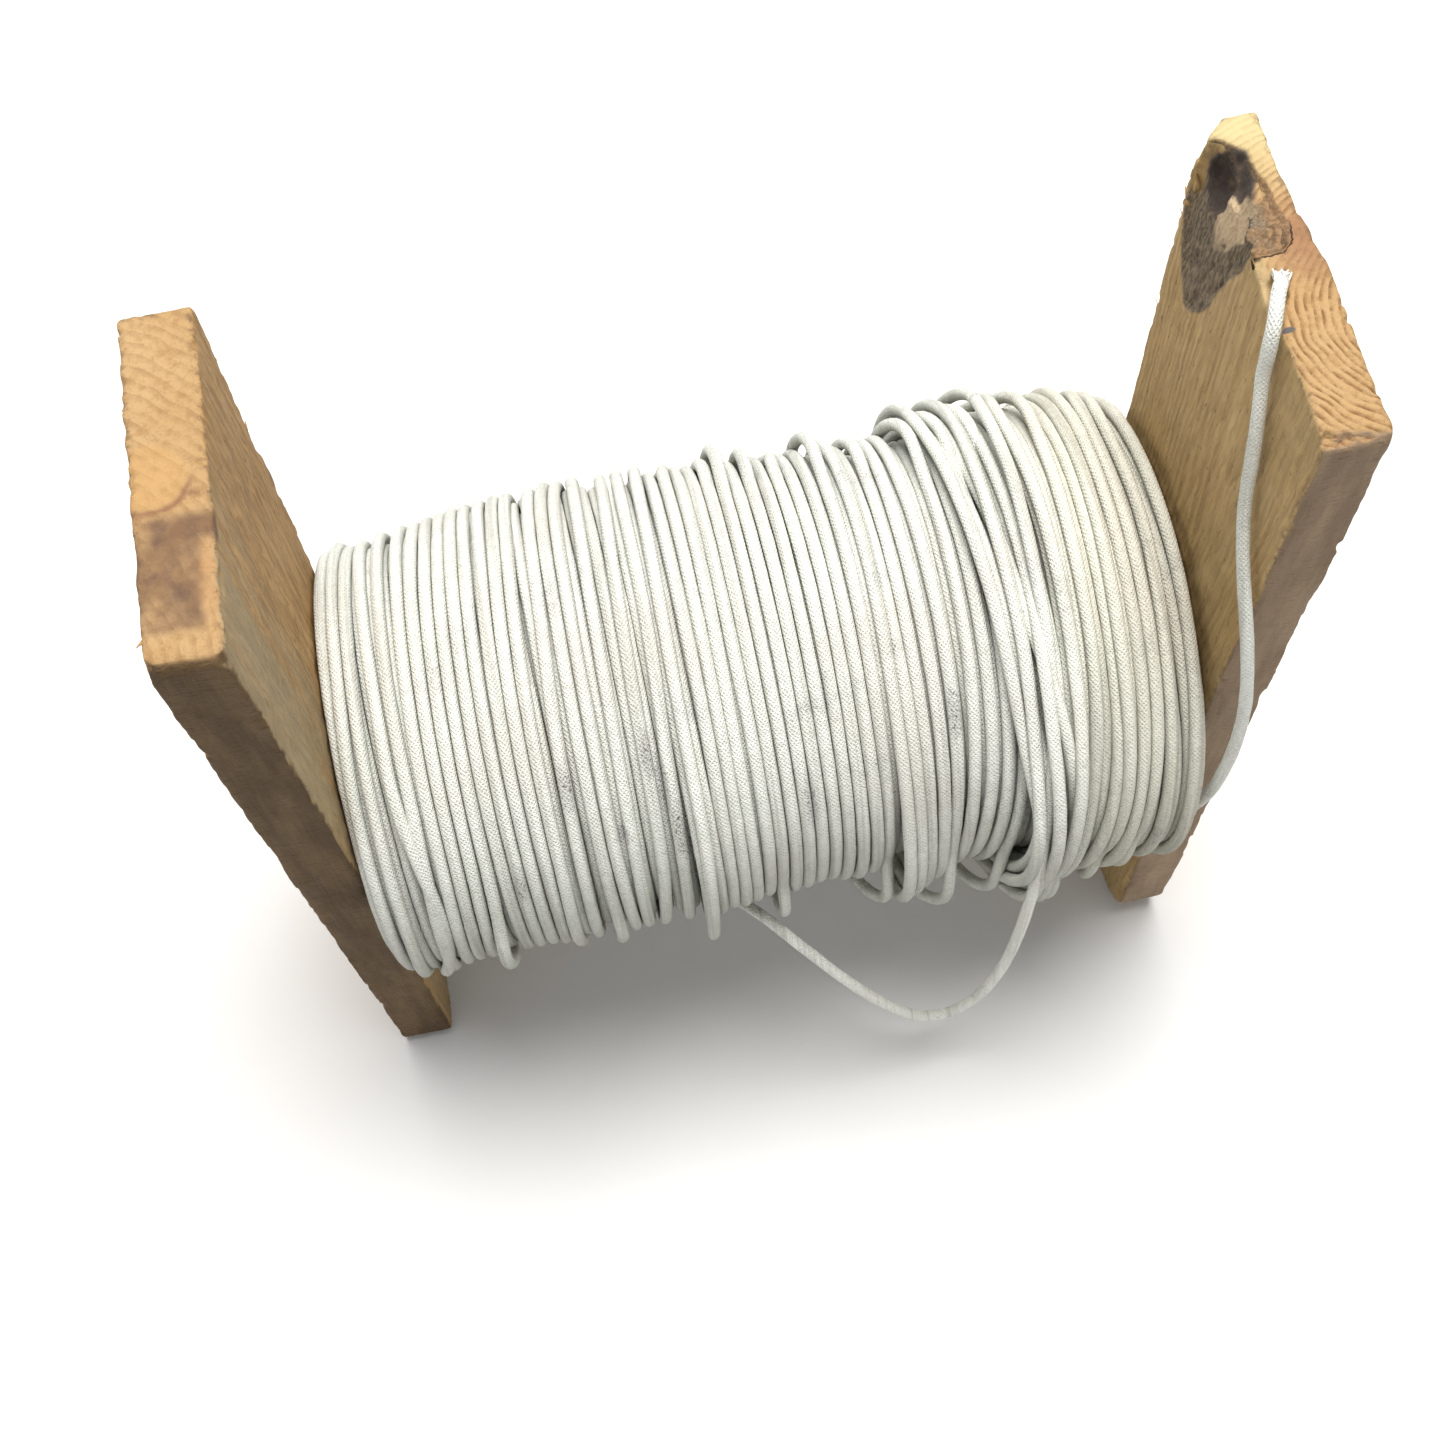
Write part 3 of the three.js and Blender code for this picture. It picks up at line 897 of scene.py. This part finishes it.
# Chips out of the left board's head, as [centre, half sizes].
LEFT_CHIPS = [
    ((-109.0, 35.0, 247), (1.2, 1.4, 1.4)), ((-104.2, 35.3, 247), (1.5, 0.8, 1.2)),
    ((-100.6, 35.4, 247), (1.2, 0.6, 0.9)), ((-109.0, 20.0, 247), (1.0, 2.2, 1.2)),
    ((-109.1, 15.6, 247), (0.9, 1.4, 1.4)), ((-109.2, 4.0, 247), (0.8, 1.8, 1.2)),
    ((-94.9, 11.5, 247.4), (1.6, 0.5, 1.4)), ((-94.2, -23.0, 246), (0.9, 3.4, 2.4)),
    ((-94.2, -29.5, 246), (0.8, 1.4, 2.0)), ((-109.3, -22.6, 247), (1.0, 1.4, 1.4)),
]


def chipped(p, solid, chips, seed):
    """Takes small rough bites out of a board."""
    near = p[:, 2] > 225
    q = p[near]
    part = solid[near]
    stray = 0.25 * layered(q, (1.2, 1.2, 1.6), seed)
    for centre, half in chips:
        away = np.linalg.norm((q - np.array(centre)) / np.array(half), axis=1)
        part = np.maximum(part, (1 + stray - away) * min(half))
    solid = solid.copy()
    solid[near] = part
    return solid


def left_details(p, solid):
    """The head's two broken front corners and chips along its arrises."""
    x, y, z = p.T
    high, ahead = z - LEFT.height, y - LEFT.front[1]
    inner_cut = (x - LEFT.inner) * 0.75 - (ahead - 1.3) * 0.55 + high * 0.22
    inner_cut = inner_cut + 1.2 + 0.35 * layered(p, (2, 2, 3), 91)
    outer_cut = (LEFT.outer - x) * 0.64 - ahead * 0.64 + high * 0.32
    outer_cut = outer_cut + 2.2 + 0.3 * layered(p, (2, 2, 3), 93)
    solid = np.maximum(solid, np.where(z > 236, np.maximum(inner_cut, outer_cut), ABSENT))
    return chipped(p, solid, LEFT_CHIPS, 95)


# The knot's outline on the right board's top face as (x, y), the bark's and the pale break's on its
# inner face as (y, z), and the hollows as [centre, half sizes].
KNOT_TOP = [
    (93, 3.6), (98.4, 2.7), (101.2, 3.3), (103.2, 5.4), (103.9, 9.2), (103.3, 13.0), (102.8, 18.9),
    (101.6, 23.7), (99.6, 28.4), (96.6, 31.2), (93, 31.6),
]
TONGUE = [
    (3.8, 247), (6.2, 239.5), (8.6, 234), (12.2, 223.5), (15.2, 214.6), (18.4, 210.4), (22.2, 208.4),
    (26.0, 210.6), (30.4, 217), (33.0, 225), (34.5, 234), (30.6, 249),
]
BREAK = [
    (12.0, 240.6), (13.4, 244.4), (14.4, 249.5), (19.6, 249.5), (21.4, 242.0), (24.4, 236.4),
    (22.8, 232.0), (19.4, 229.0), (16.0, 233.2),
]
HOLLOWS = [((96.8, 22.4, 246.0), (4.2, 6.2, 6.6)), ((97.0, 26.4, 239.6), (3.4, 5.0, 5.8))]
RIGHT_CHIPS = [
    ((99.5, -36.9, 248.4), (2.4, 1.7, 1.8)), ((96.6, -36.4, 248.0), (1.4, 1.6, 2.0)),
    ((103.2, -37.0, 248.2), (1.8, 1.3, 1.5)), ((106.0, -37.2, 248.2), (1.2, 1.0, 1.2)),
    ((95.0, -24.5, 248), (0.8, 2.0, 1.2)), ((107.9, 5.0, 247.8), (0.9, 1.6, 1.6)),
    ((108.5, -9.5, 248), (0.8, 1.4, 1.4)), ((108.6, -20.5, 248), (0.9, 1.8, 1.4)),
    ((106.3, 27.5, 248), (0.8, 1.6, 1.2)),
]
NOTCH_Y, TORN_Y = -4.4, -0.9  # the middles of the cord's notch and of the torn strip beside it


def break_plane(z):
    """x of the pale flat break beside the hollow."""
    return RIGHT.inner + 0.4 + 0.22 * (z - 230)


def knot_places(p):
    """How far inside each part of the knot a point lies, in millimetres; the hollow's wall is at 1."""
    x, y, z = p.T
    stray = 0.55 * layered(p, (2.4, 2.4, 3.2), 131)
    hollow = [np.linalg.norm((p - np.array(centre)) / np.array(half), axis=1) for centre, half in HOLLOWS]
    return {
        "top": in_outline(x, y, KNOT_TOP) + stray * 0.5,
        "hollow": np.minimum(*hollow) + stray * 0.2,
        "tongue": in_outline(y, z, TONGUE) + stray,
        "break": in_outline(y, z, BREAK) + stray * 0.7,
    }


def right_details(p, solid):
    """The broken-out knot at the head, the ragged front edge and the notch that holds the cord."""
    x, y, z = p.T
    near = (z > 205) & (y > -2)
    q = p[near]
    qx, qy, qz = q.T
    place = knot_places(q)
    part = solid[near]
    inner, top = RIGHT.inner, RIGHT.height
    rough = layered(q, (1.5, 1.6, 2.6), 141, 3)
    # The knot's broken top is a little below the top face and falls toward the hollow.
    sunk = smooth_step(place["top"], -0.2, 1.4)
    fall = 0.3 + 0.1 * np.clip(103 - qx, 0, 8) + 0.14 * np.clip(qy - 8, 0, 12)
    part = np.maximum(part, qz - (top - sunk * (fall + 0.5 * rough)))
    part = np.maximum(part, (1 - place["hollow"]) * 4.6 + 0.4 * rough)
    # A pale flat break beside the hollow, and the bark that runs down the inner face to a tip.
    facet = np.minimum(break_plane(qz) + 0.1 * rough - qx, place["break"] + 0.5)
    part = np.maximum(part, facet)
    bark_depth = smooth_step(place["tongue"], -0.1, 1.3) * (0.55 + 0.055 * np.clip(qz - 212, 0, 40))
    crumbs = 0.5 * rough * smooth_step(place["tongue"], 0, 1)
    part = np.maximum(part, inner + bark_depth + crumbs - qx - 0.02)
    # The inner back corner of the head has broken away.
    corner = (qy - RIGHT.back[1] + 0.3) * 0.62 - (qx - inner) * 0.7 + (qz - 231) * 0.165
    part = np.maximum(part, np.where(qz > 222, corner + 0.35 * rough, ABSENT))
    solid = solid.copy()
    solid[near] = part
    # The saw left the head's front edge ragged.
    ragged = ((z - top) - (y - RIGHT.front[1])) * 0.7 + 0.75 + 0.85 * layered(p, (1.6, 2.0, 2.2), 157)
    solid = np.maximum(solid, np.where((z > 240) & (y < -30), ragged, ABSENT))
    # The notch that holds the cord's end, with a torn strip beside it.
    notch = np.maximum(np.abs(y - NOTCH_Y) - 2.3, x - 99.2)
    notch = np.maximum(notch, 245.6 + 0.14 * (y - NOTCH_Y) ** 2 - z)
    solid = np.maximum(solid, -notch - 0.15 * layered(p, (1.2, 1.2, 2), 151))
    torn = np.maximum(np.abs(y - TORN_Y) - 3.9, (x - inner) * 0.8 + (top - z) * 0.55 - 1.2)
    solid = np.maximum(solid, -torn - 0.25 * layered(p, (0.9, 1.3, 1.2), 153))
    return chipped(p, solid, RIGHT_CHIPS, 155)


def board_mesh(board, details):
    low, high = sorted((board.inner, board.outer))
    neck = board.height - HEAD_PART
    axes = [
        np.arange(low - 1.5, high + 1.6, ACROSS),
        np.arange(-44, 42.5, ACROSS),
        np.concatenate([np.arange(-1.5, neck, COARSE), np.arange(neck, 250.2, FINE)]),
    ]
    grid = np.stack(np.meshgrid(*axes, indexing="ij"), -1)
    shape = grid.shape[:3]
    points = grid.reshape(-1, 3)
    x, y, z = points.T
    front, back = board.edges(z)
    ends = np.maximum(front - y, y - back)
    rough_distance = np.maximum(np.maximum(ends, -board.sides(x, y)), np.maximum(-z, z - board.height))
    field = rough_distance.copy()
    # The full field is worked out only near the surface, and deeper inside the head.
    near = (rough_distance > -14) & (rough_distance < 2.2)
    near &= (rough_distance > -4.2) | (z > 205)
    p = points[near]
    solid = details(p, slab(board, p))
    field[near] = nail_seats(p, solid)
    return surface_net(field.reshape(shape), axes)


def left_masks(p, normal):
    """Where the left board is stained, weathered or freshly chipped."""
    x, y, z = p.T
    head = smooth_step(z, 243.5, 245.5)
    stray = layered(p, (4, 4, 40), 201, 3)
    figure = np.hypot((x + 105.2) * 0.95, (y + 0.6) * 0.92) - 6.9 + 0.5 * stray
    line = np.exp(-((figure / 0.55) ** 2)) * smooth_step(-y, 0.6, 3.6)
    hook = np.hypot((x + 97.6) * 0.55, y + 5.2 + 0.35 * (x + 97.6)) - 0.35
    line = np.maximum(line, 1 - smooth_step(hook + 0.3 * stray, 0, 0.7)) * head
    patch = smooth_step(-y, 7.5, 11) * (1 - smooth_step(-y + 1.3 * stray, 30.3, 32.6))
    patch = patch * (0.62 + 0.38 * smooth_step(x + 1.5 * stray, -107.8, -104.2))
    patch = patch * (1 - smooth_step(x + 1.2 * stray, -98.3, -96.8) * smooth_step(-y, 13, 16))
    beside = np.exp(-(((x + 96.3) / 1.6) ** 2) - ((y + 22.5) / 6.5) ** 2) * (0.75 + 0.5 * stray)
    inner_face = smooth_step(normal[:, 0], 0.4, 0.8)
    along_front = 1 - smooth_step(y + 2.5 * layered(p, (5, 5, 60), 211), -14, 3)
    return {
        "stain": np.clip(patch * (0.86 + 0.35 * stray), 0, 1) * head,
        "line": np.clip(line, 0, 1),
        "amber": smooth_step(-figure, -0.2, 1.4) * np.clip(0.75 + 0.4 * stray, 0, 1) * head,
        "rust": np.clip(beside * 1.1, 0, 1) * head,
        "grime": inner_face * along_front,
    }


def right_masks(p, normal):
    """Bark, the pit painted dark as shade, the pale breaks and the red wood round the knot."""
    x, y, z = p.T
    place = knot_places(p)
    head = smooth_step(z, 240, 244)
    stray = layered(p, (2.2, 2.2, 3), 221, 3)
    bark = smooth_step(place["tongue"], -0.4, 0.3) * (1 - smooth_step(x, 98.8, 101.5))
    bark = bark * smooth_step(z, 205, 209) * (y > 0)
    bark = bark * (1 - smooth_step(z, 242, 245) * smooth_step(y, 24, 27))
    facet = 1 - smooth_step(np.abs(x - break_plane(z)), 0.7, 1.3)
    pale = smooth_step(place["break"], -0.4, 0.2) * facet * smooth_step(z, 226, 229)
    pale = pale * (1 - smooth_step(x + 0.5 * stray, 99.2, 100.2))
    # The hollow, which is painted dark as shade.
    pit = 1 - smooth_step(place["hollow"] + 0.1 * stray, 0.98, 1.26)
    torn = smooth_step(4.2 - np.abs(y - TORN_Y), 0, 0.7) * smooth_step(z, 244.8, 246.2)
    torn = torn * (1 - smooth_step(x, 96.4, 97.3))
    cut = smooth_step(2.9 - np.abs(y - NOTCH_Y), 0, 0.5) * smooth_step(247.6 - z, 0, 0.4)
    cut = cut * smooth_step(z, 244, 245) * (x < 101)
    away = np.hypot((x - 105.8) * 0.9, (y - 5.6) * 0.72)
    red = np.clip(1.35 - away / 5.9 + 0.3 * stray, 0, 1) * head
    pocket = smooth_step(2.0 - np.hypot((x - 99.6) * 0.7, y + 36.4), 0, 1.2) * smooth_step(z, 243.5, 246)
    corner = smooth_step(y, 30.4, 32.6) * smooth_step(z, 229, 233)
    corner = corner * (1 - smooth_step(normal[:, 2], 0.6, 0.9))
    inner_face = smooth_step(-normal[:, 0], 0.4, 0.8)
    along_front = 1 - smooth_step(y + 2.5 * layered(p, (5, 5, 60), 231), -22, -6)
    return {
        "bark": np.clip(bark * (1 - corner), 0, 1),
        "pit": np.clip(pit * (1 - 0.95 * pale), 0, 1),
        "pale": np.clip(pale, 0, 1),
        "fresh": np.clip(np.maximum(torn, cut), 0, 1),
        "rim": np.where(z > 246.4, np.clip(place["top"], -4, 12), -4),
        "rust": np.clip(np.maximum(red, 0.5 * pocket), 0, 1),
        "grime": 0.25 * inner_face * along_front,
    }


def shared_masks(board, p, normal):
    """The weathered front edge and the worn, dirty arrises."""
    x, y, z = p.T
    front, back = board.edges(z)
    facing = smooth_step(-normal[:, 1], 0.42, 0.66) * (1 - smooth_step(y - front, 2.0, 3.2))
    ends = np.minimum(y - front, back - y)
    nearest = np.sort(np.stack([board.sides(x, y), ends, board.height - z]), axis=0)
    arris = 1 - smooth_step(nearest[1], 0.5, 1.9)
    return {"front": facing, "arris": arris}


def sliver(foot, tip, width, seed):
    """A thin splinter of wood as a four-sided spike: its points and its quads."""
    foot, tip = np.array(foot, float), np.array(tip, float)
    draw = np.random.default_rng(seed)
    along = tip - foot
    side = np.cross(along, draw.normal(size=3))
    side /= np.linalg.norm(side)
    up = np.cross(along / np.linalg.norm(along), side)
    bend = draw.normal(size=3) * 0.06 * np.linalg.norm(along)
    rings = []
    for share, size in ((-0.25, 1.0), (0, 1.0), (0.35, 0.72), (0.7, 0.42), (1.0, 0.08)):
        middle = foot + along * share + bend * share**2
        for u, v in ((1, 0.5), (-1, 0.5), (-1, -0.5), (1, -0.5)):
            rings.append(middle + (side * u + up * v) * size * width / 2)
    return np.array(rings), np.concatenate([ring_quads(5, 4), [[3, 2, 1, 0], [16, 17, 18, 19]]])


# Splinters as (foot, tip, width).
LEFT_SLIVERS = [
    ((-95.0, 34.0, 206.5), (-94.8, 35.3, 207.8), 0.6),
    ((-95.3, 34.4, 188.0), (-95.0, 35.7, 189.2), 0.7),
    ((-95.1, 34.6, 171.0), (-94.8, 35.9, 172.2), 0.7),
    ((-95.0, 34.6, 163.4), (-94.8, 36.0, 164.6), 0.8),
    ((-108.4, -32.0, 246.2), (-109.8, -33.2, 246.6), 0.7),
]
RIGHT_SLIVERS = [
    ((96.8, 32.6, 232.2), (96.5, 34.3, 235.4), 1.8), ((97.8, 33.2, 234.0), (97.5, 34.6, 236.6), 1.4),
    ((96.4, 33.6, 226.4), (96.2, 35.4, 228.4), 2.0),
    ((96.6, 34.2, 226.4), (96.4, 37.0, 226.9), 0.22),
    ((95.9, 33.8, 222.0), (95.7, 37.0, 222.6), 0.2),
    ((95.5, 33.2, 194.0), (95.3, 36.4, 194.4), 0.22), ((95.5, 2.4, 246.0), (94.9, 3.1, 247.6), 0.6),
]


def wood_material(name, pith, period, contrast, front, side, broken):
    """Old pine: growth rings round a pith, fibre streaks, stains from the masks.

    pith is where the rings are centred in x and y, and how they slant with z. period is a ring's width
    and contrast its strength. front holds the tones of the weathered edge, and side two tints that set
    the long faces' brightness against the top as painted light, and the strength of their streaks. broken
    paints what only one board has."""
    g = Graph(name)
    place = g.place()
    x, y, z = g.split(place)
    stretched = g.vector("MULTIPLY", place, (1.0, 1.0, 0.045))
    wander = g.noise(place, (0.11, 0.11, 0.016), 1, 0.5)
    away = g.vector("LENGTH", g.join(x - pith[0], y - pith[1], 0.0))
    away = away + z * pith[2]
    away = away + wander * 3.2
    # Rings: each one is pale early wood that darkens slowly and ends at a sharp late line.
    share = g.math("FRACT", away / period)
    late = g.step(share, 0.28, 0.82) * (1 - g.step(share, 0.9, 1.0))
    fade = g.step(g.noise(place, (0.3, 0.3, 0.02), 4, 0.7), 0.36, 0.62)
    late = late * (0.15 + fade * 0.85)
    on_side = 1 - g.step(g.math("ABSOLUTE", g.normal()[2]), 0.45, 0.8)
    late = late * (1 - on_side * 0.62)
    tones = [(0.35, (0.47, 0.305, 0.15)), (0.65, (0.43, 0.268, 0.122))]
    early_tone = g.ramp(g.noise(place, 0.05, 3, 0.6), tones)
    colour = g.mix(late * contrast, early_tone, (0.17, 0.082, 0.028))
    # The sawn end is mottled.
    mottle = g.noise(place, (0.42, 0.42, 0.07), 4, 0.68)
    on_end = 1 - on_side
    mottle = g.step(mottle, 0.47, 0.68) * on_end
    colour = g.mix(mottle * 0.55, colour, (0.3, 0.165, 0.064))
    # Fibres: fine streaks along the board and pores on its end.
    streak = g.noise(stretched, 1.5, 4, 0.65)
    colour = g.mix(g.step(streak, 0.5, 0.72) * 0.42, colour, (0.27, 0.165, 0.07))
    pore = g.noise(g.vector("MULTIPLY", place, (1.0, 1.0, 0.12)), 2.6, 2, 0.6)
    colour = g.mix(g.step(pore, 0.6, 0.75) * 0.3, colour, (0.2, 0.115, 0.05))
    # Long faces are tinted apart from the sawn top: painted light, with blotches of the wood's own tone.
    blotch = g.noise(place, (0.07, 0.07, 0.018), 3, 0.6)
    side_light_tint = g.mix(g.step(blotch, 0.35, 0.68), side[0], side[1])
    colour = g.mix(on_side, colour, g.tint(colour, side_light_tint))
    coarse = g.noise(place, (0.85, 0.85, 0.075), 4, 0.72)
    shade = g.step(coarse, 0.4, 0.66) * on_side
    colour = g.mix(shade * side[2], colour, g.tint(colour, (0.62, 0.59, 0.56)))
    fleck = g.noise(place, (1.2, 1.2, 0.35), 2, 0.6)
    fleck = g.step(fleck, 0.63, 0.72) * on_side
    colour = g.mix(fleck * 0.55, colour, (0.09, 0.055, 0.03))
    grime = g.mask("grime") * g.step(g.noise(stretched, 0.16, 3, 0.6), 0.3, 0.62)
    colour = g.mix(grime * 0.6, colour, (0.33, 0.285, 0.185))
    colour = broken(g, place, colour)
    # Worn arrises carry a little dirt; the front edge is weathered and rough sawn.
    dirt = g.mask("arris") * g.step(g.noise(place, 0.5, 4, 0.68), 0.48, 0.66)
    colour = g.mix(dirt * 0.72, colour, (0.14, 0.088, 0.05))
    dash = g.noise(place, (0.34, 0.6, 1.5), 3, 0.6)
    mottled = g.noise(place, (0.16, 0.16, 0.03), 3, 0.6)
    old = g.mix(g.step(mottled, 0.36, 0.66), front[0], front[1])
    old = g.mix(g.step(dash, 0.54, 0.7) * 0.5, old, front[2])
    colour = g.mix(g.mask("front"), colour, old)
    fine = streak * 0.5 + pore * 0.5
    height = fine - late * 0.22
    height = height - shade * 0.45
    height = height + dash * g.mask("front") * 1.3
    bark_relief = g.noise(place, 1.1, 4, 0.7)
    height = height + bark_relief * g.mask("bark") * 2.0
    normal = g.bump(height, 0.28, 0.85)
    roughness = g.ramp(streak, [(0.3, 0.62), (0.7, 0.8)])
    return g.finish(colour, roughness, normal, 0.15)


def left_stains(g, place, colour):
    blot = g.noise(place, 0.28, 4, 0.65)
    stained = g.mix(g.step(blot, 0.38, 0.64), (0.172, 0.096, 0.053), (0.118, 0.068, 0.047))
    colour = g.mix(g.mask("amber") * 0.55, colour, (0.49, 0.285, 0.11))
    colour = g.mix(g.mask("stain") * 0.92, colour, stained)
    colour = g.mix(g.mask("rust") * 0.8, colour, (0.4, 0.215, 0.095))
    return g.mix(g.mask("line") * 0.72, colour, (0.185, 0.085, 0.05))


def right_breaks(g, place, colour):
    blot = g.noise(place, 0.45, 4, 0.7)
    y, z = g.split(place)[1:]
    red = g.mix(g.step(blot, 0.35, 0.7), (0.32, 0.17, 0.088), (0.225, 0.12, 0.064))
    colour = g.mix(g.mask("rust") * 0.9, colour, red)
    # The far end of the top is the palest.
    far_end = g.step(y, 12, 33) * g.step(z, 245.5, 247.3)
    colour = g.mix(far_end * 0.55, colour, (0.72, 0.62, 0.33))
    # The knot: uneven rings that follow its outline, and a thin crack along its front, painted as a dark
    # line of shade.
    rim = g.mask("rim")
    fine = g.noise(place, 1.4, 3, 0.6)
    wound = rim * 0.55 + blot * 2.4
    rings = g.step(g.math("FRACT", wound), 0.3, 0.92)
    rings = rings * g.step(g.noise(place, 0.3, 2, 0.5), 0.34, 0.6)
    brown = g.mix(g.step(fine, 0.36, 0.66), (0.29, 0.178, 0.094), (0.16, 0.094, 0.05))
    brown = g.mix(rings, brown, (0.085, 0.05, 0.027))
    colour = g.mix(g.step(rim, -0.1, 0.4) * 0.92, colour, brown)
    edge = rim + (fine - 0.5) * 0.7
    front = 1 - g.step(y, 8.0, 10.5)
    crack_shade = 1 - g.step(g.math("ABSOLUTE", edge), 0.1, 0.26)
    colour = g.mix(crack_shade * front, colour, (0.045, 0.026, 0.015))
    fibres = g.noise(place, (1.6, 1.6, 0.3), 3, 0.7)
    bark = g.mix(g.step(fibres, 0.35, 0.7), (0.105, 0.08, 0.054), (0.315, 0.238, 0.155))
    colour = g.mix(g.mask("bark"), colour, bark)
    pale = g.mix(g.step(fibres, 0.4, 0.66), (0.6, 0.45, 0.285), (0.42, 0.305, 0.185))
    colour = g.mix(g.mask("pale"), colour, pale)
    colour = g.mix(g.mask("fresh") * 0.85, colour, (0.62, 0.45, 0.235))
    # A dark spot on the inner arris: painted shade of a nick that the shape doesn't carve.
    nick_shade = g.vector("SUBTRACT", place, (96.6, -13.2, 248))
    nick_shade = g.vector("LENGTH", g.vector("DIVIDE", nick_shade, (1.4, 0.7, 1.2)))
    colour = g.mix(1 - g.step(nick_shade, 0.7, 1.1), colour, (0.11, 0.1, 0.1))
    # The hollow is painted near-black: painted shade inside it.
    return g.mix(g.mask("pit"), colour, g.mix(blot, (0.04, 0.032, 0.03), (0.115, 0.088, 0.072)))


def end_board(board, details, masks, slivers, material):
    points, quads = board_mesh(board, details)
    base = len(points)
    for seed, (foot, tip, width) in enumerate(slivers):
        more, faces = sliver(foot, tip, width, seed)
        quads = np.concatenate([quads, faces + len(points)])
        points = np.concatenate([points, more])
    mesh = quad_mesh(board.name, points, quads)
    normal = np.empty(len(points) * 3, np.float32)
    mesh.vertices.foreach_get("normal", normal)
    normal = normal.reshape(-1, 3)
    for name, values in {**masks(points, normal), **shared_masks(board, points, normal)}.items():
        values[base:] = 0
        paint(mesh, name, values)
    made = new_object(board.name, mesh, material)
    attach(made, "root")
    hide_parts(board.node)


def end_boards():
    dark_front = ((0.105, 0.065, 0.032), (0.158, 0.098, 0.047), (0.052, 0.032, 0.017))
    grey_front = ((0.35, 0.25, 0.16), (0.26, 0.18, 0.115), (0.15, 0.098, 0.062))
    # The side tints lighten the long faces as painted light, the right board's most, as its inner face
    # turns away from the lamp.
    left_side = ((1.14, 1.1, 0.98), (1.00, 0.95, 0.83), 0.8)
    right_side = ((1.3, 1.4, 1.34), (1.18, 1.24, 1.16), 0.5)
    left = wood_material("pine", (-153, -47, 0.02), 2.45, 0.34, dark_front, left_side, left_stains)
    right = wood_material(
        "knotty_pine", (120.5, -13.5, -0.03), 1.45, 0.9, grey_front, right_side, right_breaks
    )
    end_board(LEFT, left_details, left_masks, LEFT_SLIVERS, left)
    end_board(RIGHT, right_details, right_masks, RIGHT_SLIVERS, right)


def nail_material():
    """Dull wire nails with some rust."""
    g = Graph("nail_steel")
    place = g.place()
    patch = g.noise(place, 0.8, 4, 0.65)
    rust = g.step(patch, 0.5, 0.66)
    grain = g.noise(place, 3.0, 3, 0.6)
    colour = g.mix(rust, g.mix(grain, (0.3, 0.29, 0.28), (0.46, 0.45, 0.43)), (0.15, 0.07, 0.035))
    g.plug(g.shader.inputs["Metallic"], 0.95 - rust * 0.9)
    roughness = 0.36 + rust * 0.45
    return g.finish(colour, roughness, g.bump(grain, 0.1, 0.6), 0.4)


def no_breaks(g, place, colour):
    return colour


def cad_materials():
    """The nails and the core keep their shape and get their own materials."""
    front = ((0.43, 0.28, 0.13),) * 3
    side = ((1.0, 1.0, 1.0), (0.9, 0.88, 0.84), 0.6)
    steel = nail_material()
    wood = wood_material("core_wood", (-30, 22, 0.0), 2.2, 0.6, front, side, no_breaks)
    for name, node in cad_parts.items():
        if name.startswith("nail"):
            node.material_slots[0].material = steel
        if name.startswith("core"):
            node.material_slots[0].material = wood


# ---------------- finish

make_camera()
make_lights()
make_floor()
cord = cord_material("waxed_cord", 1.0, 0.36)
loose_cord = cord_material("waxed_cord_loose", 0.0, 0.24)
fray = cord_fray(loose_cord)
free_cord("tail", "cord_tail", TAIL_ROUTE, loose_cord)
free_cord("loop", "cord_loop", LOOP_ROUTE, loose_cord)
winding_body(cord)
winding_pieces(cord)
end_boards()
cad_materials()
